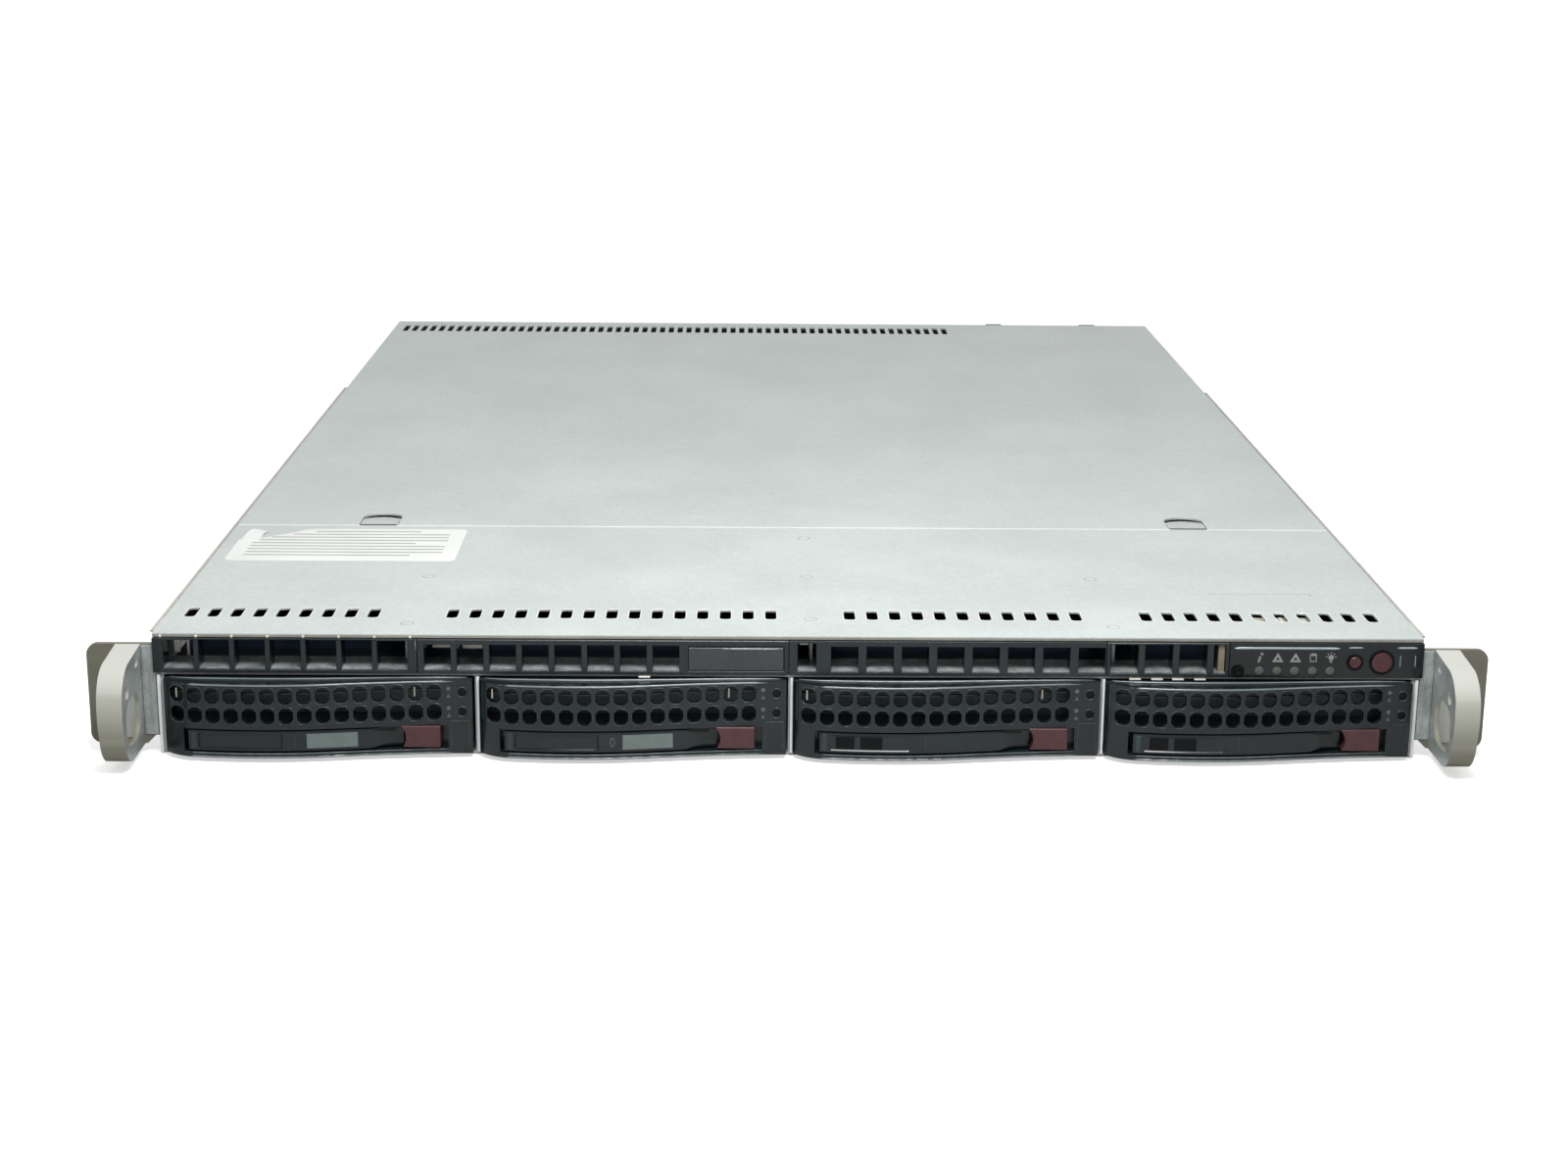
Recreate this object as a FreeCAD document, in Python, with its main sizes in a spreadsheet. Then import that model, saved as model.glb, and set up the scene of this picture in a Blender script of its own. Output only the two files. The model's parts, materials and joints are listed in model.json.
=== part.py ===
import FreeCAD, Part
import os
import re
import Sketcher

# A rack server one unit high. X is across, Y runs to the rear, Z is up, in millimetres.
# The origin is the centre of the chassis floor's underside.

SIZES = {
    # Whole body
    "body_depth": 650.0,
    "body_height": 43.0,
    "chassis_sheet": 1.0,
    "cover_sheet": 0.8,
    "cover_gap": 0.2,
    "cover_flange": 11.5,
    "cover_lip": 0.5,
    "sliding_gap": 0.3,
    "seam_gap": 0.3,
    # Drive bays
    "drive_width": 101.6,
    "drive_length": 147.0,
    "drive_height": 26.1,
    "carrier_wall": 2.0,
    "bay_gap": 0.7,
    "divider_sheet": 1.0,
    "cage_sheet": 1.3,
    "deck_sheet": 0.8,
    "side_margin": 2.5,
    "carrier_trim": 0.5,
    "carrier_shell": 2.2,
    "carrier_face": 5.0,
    "carrier_back_bar": 2.0,
    "drive_start_gap": 1.0,
    "drive_recess_side": 8.0,
    "drive_recess_front": 30.0,
    "drive_recess_rear": 12.0,
    "drive_recess_depth": 2.0,
    "runner_height": 18.3,
    "carrier_roof": 1.4,
    "bow_left": 3.0,
    "bow_corner": 9.3,
    "bow_corner_round": 2.4,
    "bow_corner_middle": 4.5,
    "bow_corner_end": 12.0,
    "bow_peak": 10.7,
    "bow_peak_middle": 36.0,
    "bow_peak_end": 62.0,
    "bow_peak_fall": 2.4,
    "bow_sag": 1.7,
    "bow_sag_middle": 83.0,
    "bow_right": 4.0,
    "grille_sill": 0.6,
    "grille_margin": 2.85,
    "grille_hole_width": 4.9,
    "grille_hole_height": 5.5,
    "grille_hole_corner": 1.4,
    "grille_pitch": 6.24,
    "grille_columns": 15,
    "grille_low_row": 16.6,
    "grille_high_row": 23.6,
    # Carrier lever and its release button
    "lever_start": 7.8,
    "lever_length": 73.2,
    "lever_bottom": 4.0,
    "lever_height": 7.2,
    "lever_thickness": 4.4,
    "lever_pin_radius": 1.1,
    "lever_knuckle_radius": 2.1,
    "lever_knuckle_offset": 1.0,
    "lever_window_start": 4.2,
    "lever_window_length": 34.0,
    "lever_window_rim": 1.1,
    "lever_window_depth": 0.8,
    "lever_window_fall": 1.6,
    "button_length": 12.3,
    "button_travel": 3.0,
    "button_proud": 0.6,
    "button_front": 1.6,
    "button_back": 1.0,
    "button_floor_gap": 0.2,
    "recess_gap": 0.5,
    "pivot_gap": 0.05,
    # Covers
    "front_cover_depth": 155.0,
    "front_slot_width": 4.0,
    "front_slot_length": 12.0,
    "front_slot_corner": 1.5,
    "front_slot_centre": 26.5,
    "front_slot_pitch": 8.0,
    "rear_slot_width": 3.0,
    "rear_slot_length": 20.0,
    "rear_slot_corner": 0.9,
    "rear_slot_pitch": 5.08,
    "rear_slot_count": 62,
    "rear_slot_inset": 13.0,
    "rear_slot_start": 7.2,
    "rivet_radius": 2.0,
    "rivet_shank": 1.4,
    "rivet_length": 2.4,
    "hanger_start": 11.0,
    "hanger_width": 9.0,
    "latch_offset": 162.5,
    "latch_width": 15.0,
    "latch_straight": 12.6,
    "latch_rise": 5.4,
    "latch_side_gap": 0.3,
    "latch_front_gap": 0.8,
    "latch_finger_gap": 1.9,
    # Upper bezel
    "bezel_proud": 1.5,
    "bezel_depth": 9.0,
    "bezel_gap": 0.15,
    "bezel_rail": 1.4,
    "bezel_split_left": 20.0,
    "bezel_split_middle": 0.4,
    "bezel_split_right": 1.0,
    "left_cell_start": 3.7,
    "left_cell_width": 10.4,
    "left_cell_pitch": 12.2,
    "left_cell_top": 0.6,
    "middle_cell_start": 2.4,
    "middle_cell_width": 9.1,
    "middle_cell_pitch": 11.2,
    "middle_cell_top": 1.9,
    "right_cell_start": 14.1,
    "right_cell_width": 9.3,
    "right_cell_pitch": 12.17,
    "post_cell_start": 2.6,
    "post_cell_width": 6.4,
    "corner_cell_start": 1.4,
    "corner_cell_width": 9.5,
    "corner_cell_pitch": 11.87,
    "corner_cell_top": 0.8,
    "narrow_cell_width": 4.0,
    "plate_recess": 0.5,
    "plate_length": 33.0,
    "plate_margin": 1.6,
    # Control panel
    "panel_width": 67.1,
    "panel_wall": 2.0,
    "panel_side": 0.6,
    "panel_floor": 0.35,
    "panel_board_gap": 3.2,
    "panel_board_sheet": 1.6,
    "lens_radius": 1.85,
    "lens_pitch": 6.13,
    "lens_start": 10.4,
    "lens_height": 31.6,
    "power_inset": 14.5,
    "power_radius": 3.5,
    "reset_inset": 23.8,
    "reset_radius": 2.0,
    "buttons_height": 35.0,
    "locator_inset": 64.2,
    "locator_radius": 1.4,
    "press_gap": 0.2,
    "press_travel": 1.0,
    "press_proud": 0.9,
    "press_flange": 0.9,
    "press_flange_rim": 0.45,
    # Rack handles
    "ear_reach": 22.8,
    "ear_sheet": 2.0,
    "ear_bottom": 3.3,
    "ear_top": 39.2,
    "ear_corner": 4.0,
    "ear_gap": 0.4,
    "ear_leg_depth": 24.0,
    "ear_hole_offset": 14.05,
    "ear_hole_radius": 3.4,
    "ear_hole_slot": 10.5,
    "ear_hole_height": 21.4,
    "handle_offset": 4.2,
    "handle_width": 8.5,
    "handle_reach": 30.0,
    "handle_band": 2.0,
    "handle_web": 1.5,
    "nose_corner": 11.0,
    "nose_top": 9.7,
    "nose_bottom": 10.8,
    "grip_bottom": 5.4,
    "grip_top": 21.8,
    "grip_front": 5.2,
    "grip_rear": 5.6,
    "grip_corner": 6.5,
    "web_hole_radius": 2.3,
    "web_hole_back": 8.0,
    "web_hole_drop": 10.7,
    "web_slot_front": 9.4,
    "web_slot_top": 3.7,
    "web_slot_bottom": 6.1,
    "web_slot_corner": 1.1,
    "ear_chamfer": 3.0,
    # Slide rails
    "rail_length": 428.0,
    "rail_bottom": 5.0,
    "rail_height": 25.5,
    "rail_sheet": 1.2,
    "rail_lip": 4.6,
    "screw_radius": 2.6,
    "screw_head": 1.0,
    # Backplane and fans
    "backplane_gap": 4.0,
    "board_sheet": 1.6,
    "backplane_top": 39.5,
    "air_slot_start": 8.0,
    "air_slot_pitch": 32.0,
    "air_slot_width": 24.0,
    "air_slot_bottom": 18.0,
    "air_slot_height": 16.0,
    "plug_start": 14.0,
    "plug_width": 46.0,
    "plug_bottom": 6.0,
    "plug_height": 8.0,
    "fan_start": 187.0,
    "fan_size": 40.0,
    "fan_length": 38.0,
    "fan_pitch": 88.0,
    "fan_first": 164.0,
    "fan_wall": 0.8,
    "fan_blade_gap": 0.8,
    "fan_hub_radius": 10.0,
    "fan_hub_inset": 6.0,
    "blade_count": 7,
    "blade_pitch": 32.0,
    "fan_stator_length": 5.0,
    "fan_strut": 3.0,
    "fan_blade_sheet": 1.2,
    "fan_blade_length": 18.0,
    "shaft_radius": 1.45,
    "shaft_gap": 0.05,
    "shaft_end_gap": 0.5,
    # Motherboard
    "mainboard_start": 245.0,
    "mainboard_inset": 4.0,
    "mainboard_lift": 6.5,
    "standoff_radius": 3.0,
    "heatsink_size": 88.0,
    "heatsink_base": 4.0,
    "heatsink_height": 25.0,
    "heatsink_fins": 22,
    "heatsink_fin": 0.8,
    "socket_height": 4.0,
    "memory_length": 133.0,
    "memory_height": 30.0,
    "memory_sheet": 1.4,
    "memory_socket_width": 6.0,
    "memory_socket_height": 5.0,
    "memory_pitch": 9.4,
    "shroud_sheet": 1.0,
    "shroud_length": 118.0,
    "vent_start": 158.0,
    "vent_margin": 4.0,
    "vent_width": 3.2,
    "vent_height": 12.0,
    "vent_corner": 1.4,
    "vent_pitch": 5.4,
    "vent_low_row": 9.0,
    "vent_high_row": 25.0,
    "port_depth": 21.0,
    "socket_back": 6.0,
    "port_proud": 0.6,
    "port_gap": 0.4,
    "collar_width": 16.4,
    "collar_height": 8.4,
    "collar_length": 5.5,
    "collar_post_offset": 12.5,
    "collar_post_radius": 2.3,
    # Power modules
    "module_width": 54.5,
    "module_length": 220.0,
    "module_pitch": 55.7,
    "module_inset": 3.95,
    "module_proud": 0.5,
    "module_gap": 0.3,
    "module_wall_sheet": 0.8,
    "inlet_width": 16.6,
    "inlet_height": 24.4,
    "inlet_depth": 18.0,
    "inlet_inset": 1.8,
    "inlet_bottom": 6.5,
    "module_fan_radius": 14.6,
    "module_fan_depth": 18.0,
    "module_fan_inset": 17.2,
    "module_hub_radius": 6.0,
    "module_blade_length": 10.0,
    "strap_width": 9.0,
    "strap_reach": 33.0,
    "strap_sheet": 2.2,
    "strap_bend": 12.0,
    "strap_bottom": 5.5,
    "strap_top": 39.8,
    "module_latch_length": 11.0,
    "module_latch_width": 4.0,
    "module_latch_height": 6.0,
    "module_latch_travel": 3.0,
}

os.makedirs("parts", exist_ok=True)
doc = FreeCAD.newDocument("rack_server")
sheet = doc.addObject("Spreadsheet::Sheet", "Sizes")
for row, (alias, size) in enumerate(SIZES.items(), 1):
    sheet.set(f"A{row}", alias)
    sheet.set(f"B{row}", str(size))
    sheet.setAlias(f"B{row}", alias)
doc.recompute()

nodes = []

# Places that several pieces share, as expressions in the sheet's sizes

CARRIER_WIDTH = "(drive_width + 2 * carrier_wall)"
BAY_PITCH = f"({CARRIER_WIDTH} + 2 * bay_gap + divider_sheet)"
HALF = f"(2 * {BAY_PITCH} + side_margin)"
CHASSIS_HALF = f"({HALF} - cover_sheet - cover_gap)"
FRONT = "(-body_depth / 2)"
REAR = "(body_depth / 2)"
COVER_UNDER = "(body_height - cover_sheet)"
WALL_TOP = f"({COVER_UNDER} - cover_gap)"
DRIVE_BOTTOM = "(chassis_sheet + 3 * sliding_gap)"
DECK_UNDER = f"({DRIVE_BOTTOM} + drive_height + sliding_gap)"
DECK_TOP = f"({DECK_UNDER} + deck_sheet)"
CAGE_END = f"({FRONT} + drive_length + carrier_back_bar + sliding_gap + carrier_face)"
BACKPLANE_FRONT = f"({CAGE_END} + backplane_gap - sliding_gap)"
BAY_LEFT = f"(-2 * {BAY_PITCH} + divider_sheet / 2 + bay_gap)"
BEZEL_END = f"({FRONT} - bezel_proud + bezel_depth + bezel_gap)"
SEAM = f"({FRONT} + front_cover_depth)"
MODULE_LEFT = f"({HALF} - module_inset - module_width - module_pitch)"


def bind(text):
    """The expression with each of its words looked up in the sheet."""
    return re.sub(r"[a-z_]+", lambda word: look_up(word.group()), str(text))


def look_up(word):
    return "Sizes." + word if word in SIZES else word


def number(text):
    return float(sheet.evalExpression(bind(text)))


def node(thing):
    """Keep a finished piece as a sub-part under its own label."""
    thing.Label = thing.Name
    nodes.append(thing)
    return thing


# Plain solids


def move_to(thing, place):
    for letter, expression in zip("xyz", place):
        thing.setExpression(f"Placement.Base.{letter}", bind(expression))


def box(name, across, along, upward):
    """A block between three pairs of low and high expressions."""
    block = doc.addObject("Part::Box", name)
    spans = (across, along, upward)
    for side, (low, high) in zip(("Length", "Width", "Height"), spans):
        block.setExpression(side, bind(f"({high}) - ({low})"))
    move_to(block, [low for low, high in spans])
    return block


TURNS = {
    "x": FreeCAD.Rotation(FreeCAD.Vector(0, 1, 0), 90),
    "y": FreeCAD.Rotation(FreeCAD.Vector(1, 0, 0), -90),
    "z": FreeCAD.Rotation(),
}


def rod(name, direction, radius, length, place):
    """A cylinder that starts at place and runs towards plus x, y or z."""
    cylinder = doc.addObject("Part::Cylinder", name)
    cylinder.setExpression("Radius", bind(radius))
    cylinder.setExpression("Height", bind(length))
    cylinder.Placement = FreeCAD.Placement(FreeCAD.Vector(), TURNS[direction])
    move_to(cylinder, place)
    return cylinder


def join(name, pieces):
    fused = doc.addObject("Part::MultiFuse", name)
    fused.Shapes = pieces
    return fused


def group(name, pieces):
    """Separate solids that share one node."""
    compound = doc.addObject("Part::Compound", name)
    compound.Links = pieces
    return compound


def cut(name, base, tools):
    difference = doc.addObject("Part::Cut", name)
    difference.Base = base
    difference.Tool = tools[0] if len(tools) == 1 else group(f"{name}_tools", tools)
    return difference


def overlap(name, pieces):
    common = doc.addObject("Part::MultiCommon", name)
    common.Shapes = pieces
    return common


def copy_of(name, original, shift):
    """The same piece again, moved by an expression along X."""
    twin = group(name, [original])
    twin.setExpression("Placement.Base.x", bind(shift))
    return twin


# Sketched bodies


def sketch(body, name, role, offset="0"):
    """A sketch on one of the body's own planes, lifted along the plane's normal."""
    plane = next(item for item in body.Origin.OriginFeatures if item.Role == role)
    drawing = body.newObject("Sketcher::SketchObject", name)
    drawing.AttachmentSupport = [(plane, "")]
    drawing.MapMode = "FlatFace"
    drawing.setExpression("AttachmentOffset.Base.z", bind(offset))
    return drawing


def pin_down(drawing, kind, geometry, point, expression):
    """One dimension of a sketch, driven by the sheet."""
    index = drawing.addConstraint(Sketcher.Constraint(kind, geometry, point, number(expression)))
    drawing.setExpression(f"Constraints[{index}]", bind(expression))


def outline(drawing, corners, arcs=None):
    """A closed outline through corners; arcs gives a middle point for some of its sides."""
    arcs = arcs or {}
    points = [FreeCAD.Vector(number(first), number(second), 0) for first, second in corners]
    sides = []
    for index, start in enumerate(points):
        end = points[(index + 1) % len(points)]
        if index not in arcs:
            sides.append((drawing.addGeometry(Part.LineSegment(start, end)), 1, 2))
            continue
        middle = FreeCAD.Vector(*(number(part) for part in arcs[index]), 0)
        left_turn = (middle - start).cross(end - middle).z > 0
        ends = (start, middle, end) if left_turn else (end, middle, start)
        line = drawing.addGeometry(Part.Arc(*ends))
        sides.append((line, 1, 2) if left_turn else (line, 2, 1))
    for index, (line, start, end) in enumerate(sides):
        following, next_start, next_end = sides[(index + 1) % len(sides)]
        drawing.addConstraint(Sketcher.Constraint("Coincident", line, end, following, next_start))
        pin_down(drawing, "DistanceX", line, start, corners[index][0])
        pin_down(drawing, "DistanceY", line, start, corners[index][1])
    for index, (first, second) in arcs.items():
        place = FreeCAD.Vector(number(first), number(second), 0)
        mark = drawing.addGeometry(Part.Point(place), True)
        pin_down(drawing, "DistanceX", mark, 1, first)
        pin_down(drawing, "DistanceY", mark, 1, second)
        drawing.addConstraint(Sketcher.Constraint("PointOnObject", mark, 1, sides[index][0]))


def rectangle(drawing, across, upward):
    (left, right), (low, high) = across, upward
    outline(drawing, [(left, low), (right, low), (right, high), (left, high)])


def rounded(drawing, across, upward, radius):
    """A rectangle with quarter-round corners."""
    (left, right), (low, high) = across, upward
    near = f"({radius}) * (1 - cos(45))"
    corners = []
    arcs = {}
    turns = [
        (left, low, "+", "+", True),
        (right, low, "-", "+", False),
        (right, high, "-", "-", True),
        (left, high, "+", "-", False),
    ]
    for first, second, across_sign, up_sign, rises_first in turns:
        on_upright = (f"{first}", f"{second} {up_sign} ({radius})")
        on_level = (f"{first} {across_sign} ({radius})", f"{second}")
        arcs[len(corners)] = (f"{first} {across_sign} {near}", f"{second} {up_sign} {near}")
        corners += [on_upright, on_level] if rises_first else [on_level, on_upright]
    outline(drawing, corners, arcs)


def disc(drawing, first, second, radius):
    place = FreeCAD.Vector(number(first), number(second), 0)
    ring = drawing.addGeometry(Part.Circle(place, FreeCAD.Vector(0, 0, 1), number(radius)))
    pin_down(drawing, "DistanceX", ring, 3, first)
    pin_down(drawing, "DistanceY", ring, 3, second)
    index = drawing.addConstraint(Sketcher.Constraint("Radius", ring, number(radius)))
    drawing.setExpression(f"Constraints[{index}]", bind(radius))


def pad(body, drawing, length, backwards=False, both_ways=False):
    feature = body.newObject("PartDesign::Pad", drawing.Name + "_pad")
    feature.Profile = drawing
    feature.setExpression("Length", bind(length))
    feature.Reversed = backwards
    feature.Midplane = both_ways
    return feature


def pocket(body, drawing, length, backwards=False, both_ways=False):
    """Cut against the sketch's normal, or along it when backwards."""
    feature = body.newObject("PartDesign::Pocket", drawing.Name + "_pocket")
    feature.Profile = drawing
    feature.setExpression("Length", bind(length))
    feature.Reversed = backwards
    feature.Midplane = both_ways
    feature.Refine = False
    return feature


def row_of(body, feature, count, pitch):
    """Repeat a feature along the first axis of its sketch."""
    pattern = body.newObject("PartDesign::LinearPattern", feature.Name + "_row")
    pattern.Originals = [feature]
    pattern.Refine = False
    pattern.Direction = (feature.Profile[0], ["H_Axis"])
    pattern.setExpression("Length", bind(f"({count} - 1) * ({pitch})"))
    pattern.setExpression("Occurrences", bind(count))
    body.Tip = pattern
    return pattern


def new_body(name):
    return doc.addObject("PartDesign::Body", name)


def across_middle(width):
    return (f"-({width})", width)


# Chassis: one folded tray with a floor and two sides, and a rear frame that closes it

PORTS = (
    # name, left edge from the chassis side, width, height, clear mouth width, clear mouth height
    ("serial_port", 12.0, 31.0, 12.5, 0.0, 0.0),
    ("video_port", 50.0, 31.0, 12.5, 0.0, 0.0),
    ("usb_port", 88.0, 14.5, 15.6, 12.4, 5.1),
    ("left_network_port", 110.0, 16.0, 13.6, 11.8, 9.6),
    ("right_network_port", 130.0, 16.0, 13.6, 11.8, 9.6),
)
PORT_BOTTOM = "(chassis_sheet + mainboard_lift + board_sheet)"


def rear_window(body, name, across, upward):
    drawing = sketch(body, name, "XZ_Plane", f"-({REAR})")
    rectangle(drawing, across, upward)
    return pocket(body, drawing, "4 * chassis_sheet", both_ways=True)


def make_chassis():
    body = new_body("chassis_base")
    block = sketch(body, "chassis_block", "XY_Plane")
    rectangle(block, across_middle(CHASSIS_HALF), (FRONT, REAR))
    pad(body, block, WALL_TOP)
    inside = sketch(body, "chassis_inside", "XY_Plane", WALL_TOP)
    room = f"({CHASSIS_HALF} - chassis_sheet)"
    rectangle(inside, across_middle(room), (f"{FRONT} - 1", f"{REAR} + 1"))
    pocket(body, inside, f"{WALL_TOP} - chassis_sheet")
    notch = sketch(body, "bezel_notch", "XY_Plane", WALL_TOP)
    rectangle(notch, across_middle(f"({CHASSIS_HALF} + 1)"), (f"{FRONT} - 1", BEZEL_END))
    pocket(body, notch, f"{WALL_TOP} - ({DECK_TOP})")
    return node(body)


def make_rear_frame():
    """Rear panel with its port window and vents, and the walls beside and between the power modules."""
    body = new_body("rear_frame")
    walls = sketch(body, "guide_walls", "XY_Plane", "chassis_sheet")
    start = f"{REAR} - module_length - 4 * module_gap"
    end = f"{REAR} - chassis_sheet"
    for right in (f"{MODULE_LEFT} - module_gap", f"{MODULE_LEFT} + module_pitch - module_gap / 2"):
        left = f"{right} - module_wall_sheet"
        rectangle(walls, (left, right), (start, end))
    pad(body, walls, f"{WALL_TOP} - chassis_sheet - module_gap")
    panel = sketch(body, "rear_panel", "XY_Plane", "chassis_sheet")
    rectangle(panel, (f"-({CHASSIS_HALF} - chassis_sheet)", f"{MODULE_LEFT} - module_gap"), (end, REAR))
    pad(body, panel, f"{WALL_TOP} - chassis_sheet")
    first, last = PORTS[0], PORTS[-1]
    port_span = (f"-({CHASSIS_HALF}) + {first[1]} - port_gap",
                 f"-({CHASSIS_HALF}) + {last[1]} + {last[2]} + port_gap")
    port_rise = (f"{PORT_BOTTOM} - port_gap", f"{PORT_BOTTOM} + {max(port[3] for port in PORTS)} + port_gap")
    rear_window(body, "port_window", port_span, port_rise)
    vent = sketch(body, "rear_vent", "XZ_Plane", f"-({REAR})")
    vent_left = f"-({CHASSIS_HALF}) + vent_start"
    for low in ("vent_low_row", "vent_high_row"):
        rounded(vent, (vent_left, f"{vent_left} + vent_width"), (low, f"{low} + vent_height"), "vent_corner")
    cell = pocket(body, vent, "4 * chassis_sheet", both_ways=True)
    room = f"({MODULE_LEFT} - module_gap - vent_margin - ({vent_left}))"
    row_of(body, cell, f"floor({room} / vent_pitch)", "vent_pitch")
    return body


# Covers: a fixed front sheet and a sliding rear sheet, with down-turned sides

SLOT_GROUPS = (
    # start of the row, number of slots
    (f"-{HALF} + 8.3", 9),
    (f"-{BAY_PITCH} - 10.5", 15),
    ("21.25", 11),
    (f"{BAY_PITCH} + 18.1", 11),
)
HANGERS = (f"(-{BAY_PITCH} - 25)", "7.5", f"({BAY_PITCH} + 5)")
RIVETS = (
    # hanger under the rivet, distance back from the front
    (HANGERS[1], 20.8),
    (HANGERS[1], 78.5),
    (HANGERS[1], 136.6),
    (HANGERS[0], 13.4),
    (HANGERS[0], 76.4),
    (HANGERS[2], 12.8),
    (HANGERS[2], 77.0),
)
HANGER_TOP = f"({COVER_UNDER} - rivet_length)"


def cover_sheet_with_sides(name, start, side_start, end):
    body = new_body(name)
    top = sketch(body, name + "_top", "XY_Plane", COVER_UNDER)
    rectangle(top, across_middle(HALF), (start, end))
    pad(body, top, "cover_sheet")
    sides = sketch(body, name + "_sides", "XY_Plane", COVER_UNDER)
    rectangle(sides, (f"-{HALF}", f"-{HALF} + cover_sheet"), (side_start, end))
    rectangle(sides, (f"{HALF} - cover_sheet", HALF), (side_start, end))
    pad(body, sides, "cover_flange - cover_sheet", backwards=True)
    return body


def cut_slot_row(body, name, left, count, pitch, width, along, corner):
    slot = sketch(body, name, "XY_Plane", "body_height")
    rounded(slot, (f"{left} - {width} / 2", f"{left} + {width} / 2"), along, corner)
    first = pocket(body, slot, "2 * cover_sheet")
    row_of(body, first, count, pitch)


def make_front_cover():
    body = cover_sheet_with_sides("front_cover", FRONT, BEZEL_END, SEAM)
    lip = sketch(body, "front_lip", "XY_Plane", COVER_UNDER)
    rectangle(lip, across_middle(HALF), (FRONT, f"{FRONT} + cover_sheet"))
    pad(body, lip, "cover_lip", backwards=True)
    middle = f"{FRONT} + front_slot_centre"
    along = (f"{middle} - front_slot_length / 2", f"{middle} + front_slot_length / 2")
    for index, (left, count) in enumerate(SLOT_GROUPS, 1):
        name = f"front_slots_{index}"
        cut_slot_row(body, name, left, count, "front_slot_pitch", "front_slot_width", along,
                     "front_slot_corner")
    holes = sketch(body, "rivet_holes", "XY_Plane", "body_height")
    for across, back in RIVETS:
        disc(holes, across, f"{FRONT} + {back}", "rivet_radius")
    pocket(body, holes, "2 * cover_sheet")
    return node(body)


def make_rivets():
    """Flush rivets that hold the front cover on the drive cage's hangers."""
    solids = []
    for index, (across, back) in enumerate(RIVETS, 1):
        place = (across, f"{FRONT} + {back}")
        head = rod(f"rivet_head_{index}", "z", "rivet_radius", "cover_sheet", place + (COVER_UNDER,))
        shank = rod(f"rivet_shank_{index}", "z", "rivet_shank", "rivet_length",
                    place + (HANGER_TOP,))
        solids.append(join(f"rivet_{index}", [head, shank]))
    return node(group("cover_rivets", solids))


def latch_outline(drawing, side, margin, front_edge, rear_margin):
    """A tab with a straight front and a bowed rear edge."""
    middle = f"{side} * latch_offset"
    left = f"{middle} - latch_width / 2 - {margin}"
    right = f"{middle} + latch_width / 2 + {margin}"
    shoulder = f"{SEAM} + latch_straight + {rear_margin}"
    crown = f"{shoulder} + latch_rise"
    corners = [(left, front_edge), (right, front_edge), (right, shoulder), (left, shoulder)]
    outline(drawing, corners, {2: (middle, crown)})


def make_rear_cover():
    start = f"{SEAM} + seam_gap"
    body = cover_sheet_with_sides("rear_cover", start, start, REAR)
    edge = f"{REAR} - rear_slot_inset"
    along = (f"{edge} - rear_slot_length", edge)
    cut_slot_row(body, "rear_slots", f"-{HALF} + rear_slot_start", "rear_slot_count", "rear_slot_pitch",
                 "rear_slot_width", along, "rear_slot_corner")
    windows = sketch(body, "latch_windows", "XY_Plane", "body_height")
    for side in (-1, 1):
        latch_outline(windows, side, "latch_side_gap", f"{start} - 1", "latch_finger_gap")
    pocket(body, windows, "2 * cover_sheet")
    return node(body)


def make_cover_latch(name, side):
    body = new_body(name)
    tab = sketch(body, name + "_tab", "XY_Plane", COVER_UNDER)
    latch_outline(tab, side, "0", f"{SEAM} + seam_gap + latch_front_gap", "0")
    pad(body, tab, "cover_sheet")
    return node(body)


# Drive cage: deck over the bays, three dividers and two sides


def make_drive_cage():
    body = new_body("drive_cage")
    deck = sketch(body, "cage_deck", "XY_Plane", DECK_UNDER)
    half = f"({CHASSIS_HALF} - chassis_sheet)"
    rectangle(deck, across_middle(half), (FRONT, CAGE_END))
    pad(body, deck, "deck_sheet")
    walls = sketch(body, "cage_walls", "XY_Plane", "chassis_sheet")
    for index in (-1, 0, 1):
        middle = f"{index} * {BAY_PITCH}"
        rectangle(walls, (f"{middle} - divider_sheet / 2", f"{middle} + divider_sheet / 2"),
                  (FRONT, CAGE_END))
    rectangle(walls, (f"-{half}", f"-{half} + cage_sheet"), (FRONT, CAGE_END))
    rectangle(walls, (f"{half} - cage_sheet", half), (FRONT, CAGE_END))
    pad(body, walls, f"{DECK_UNDER} - chassis_sheet")
    along = (f"{FRONT} + hanger_start", CAGE_END)
    webs = sketch(body, "hanger_webs", "XY_Plane", DECK_TOP)
    flanges = sketch(body, "hanger_flanges", "XY_Plane", f"{HANGER_TOP} - divider_sheet")
    for across in HANGERS:
        rectangle(webs, (f"{across} - divider_sheet / 2", f"{across} + divider_sheet / 2"), along)
        rectangle(flanges, (f"{across} - hanger_width / 2", f"{across} + hanger_width / 2"), along)
    pad(body, webs, f"{HANGER_TOP} - divider_sheet - ({DECK_TOP})")
    pad(body, flanges, "divider_sheet")
    return node(body)


# Drive carriers: moulded front with a bowed, perforated face, and two side runners


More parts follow.
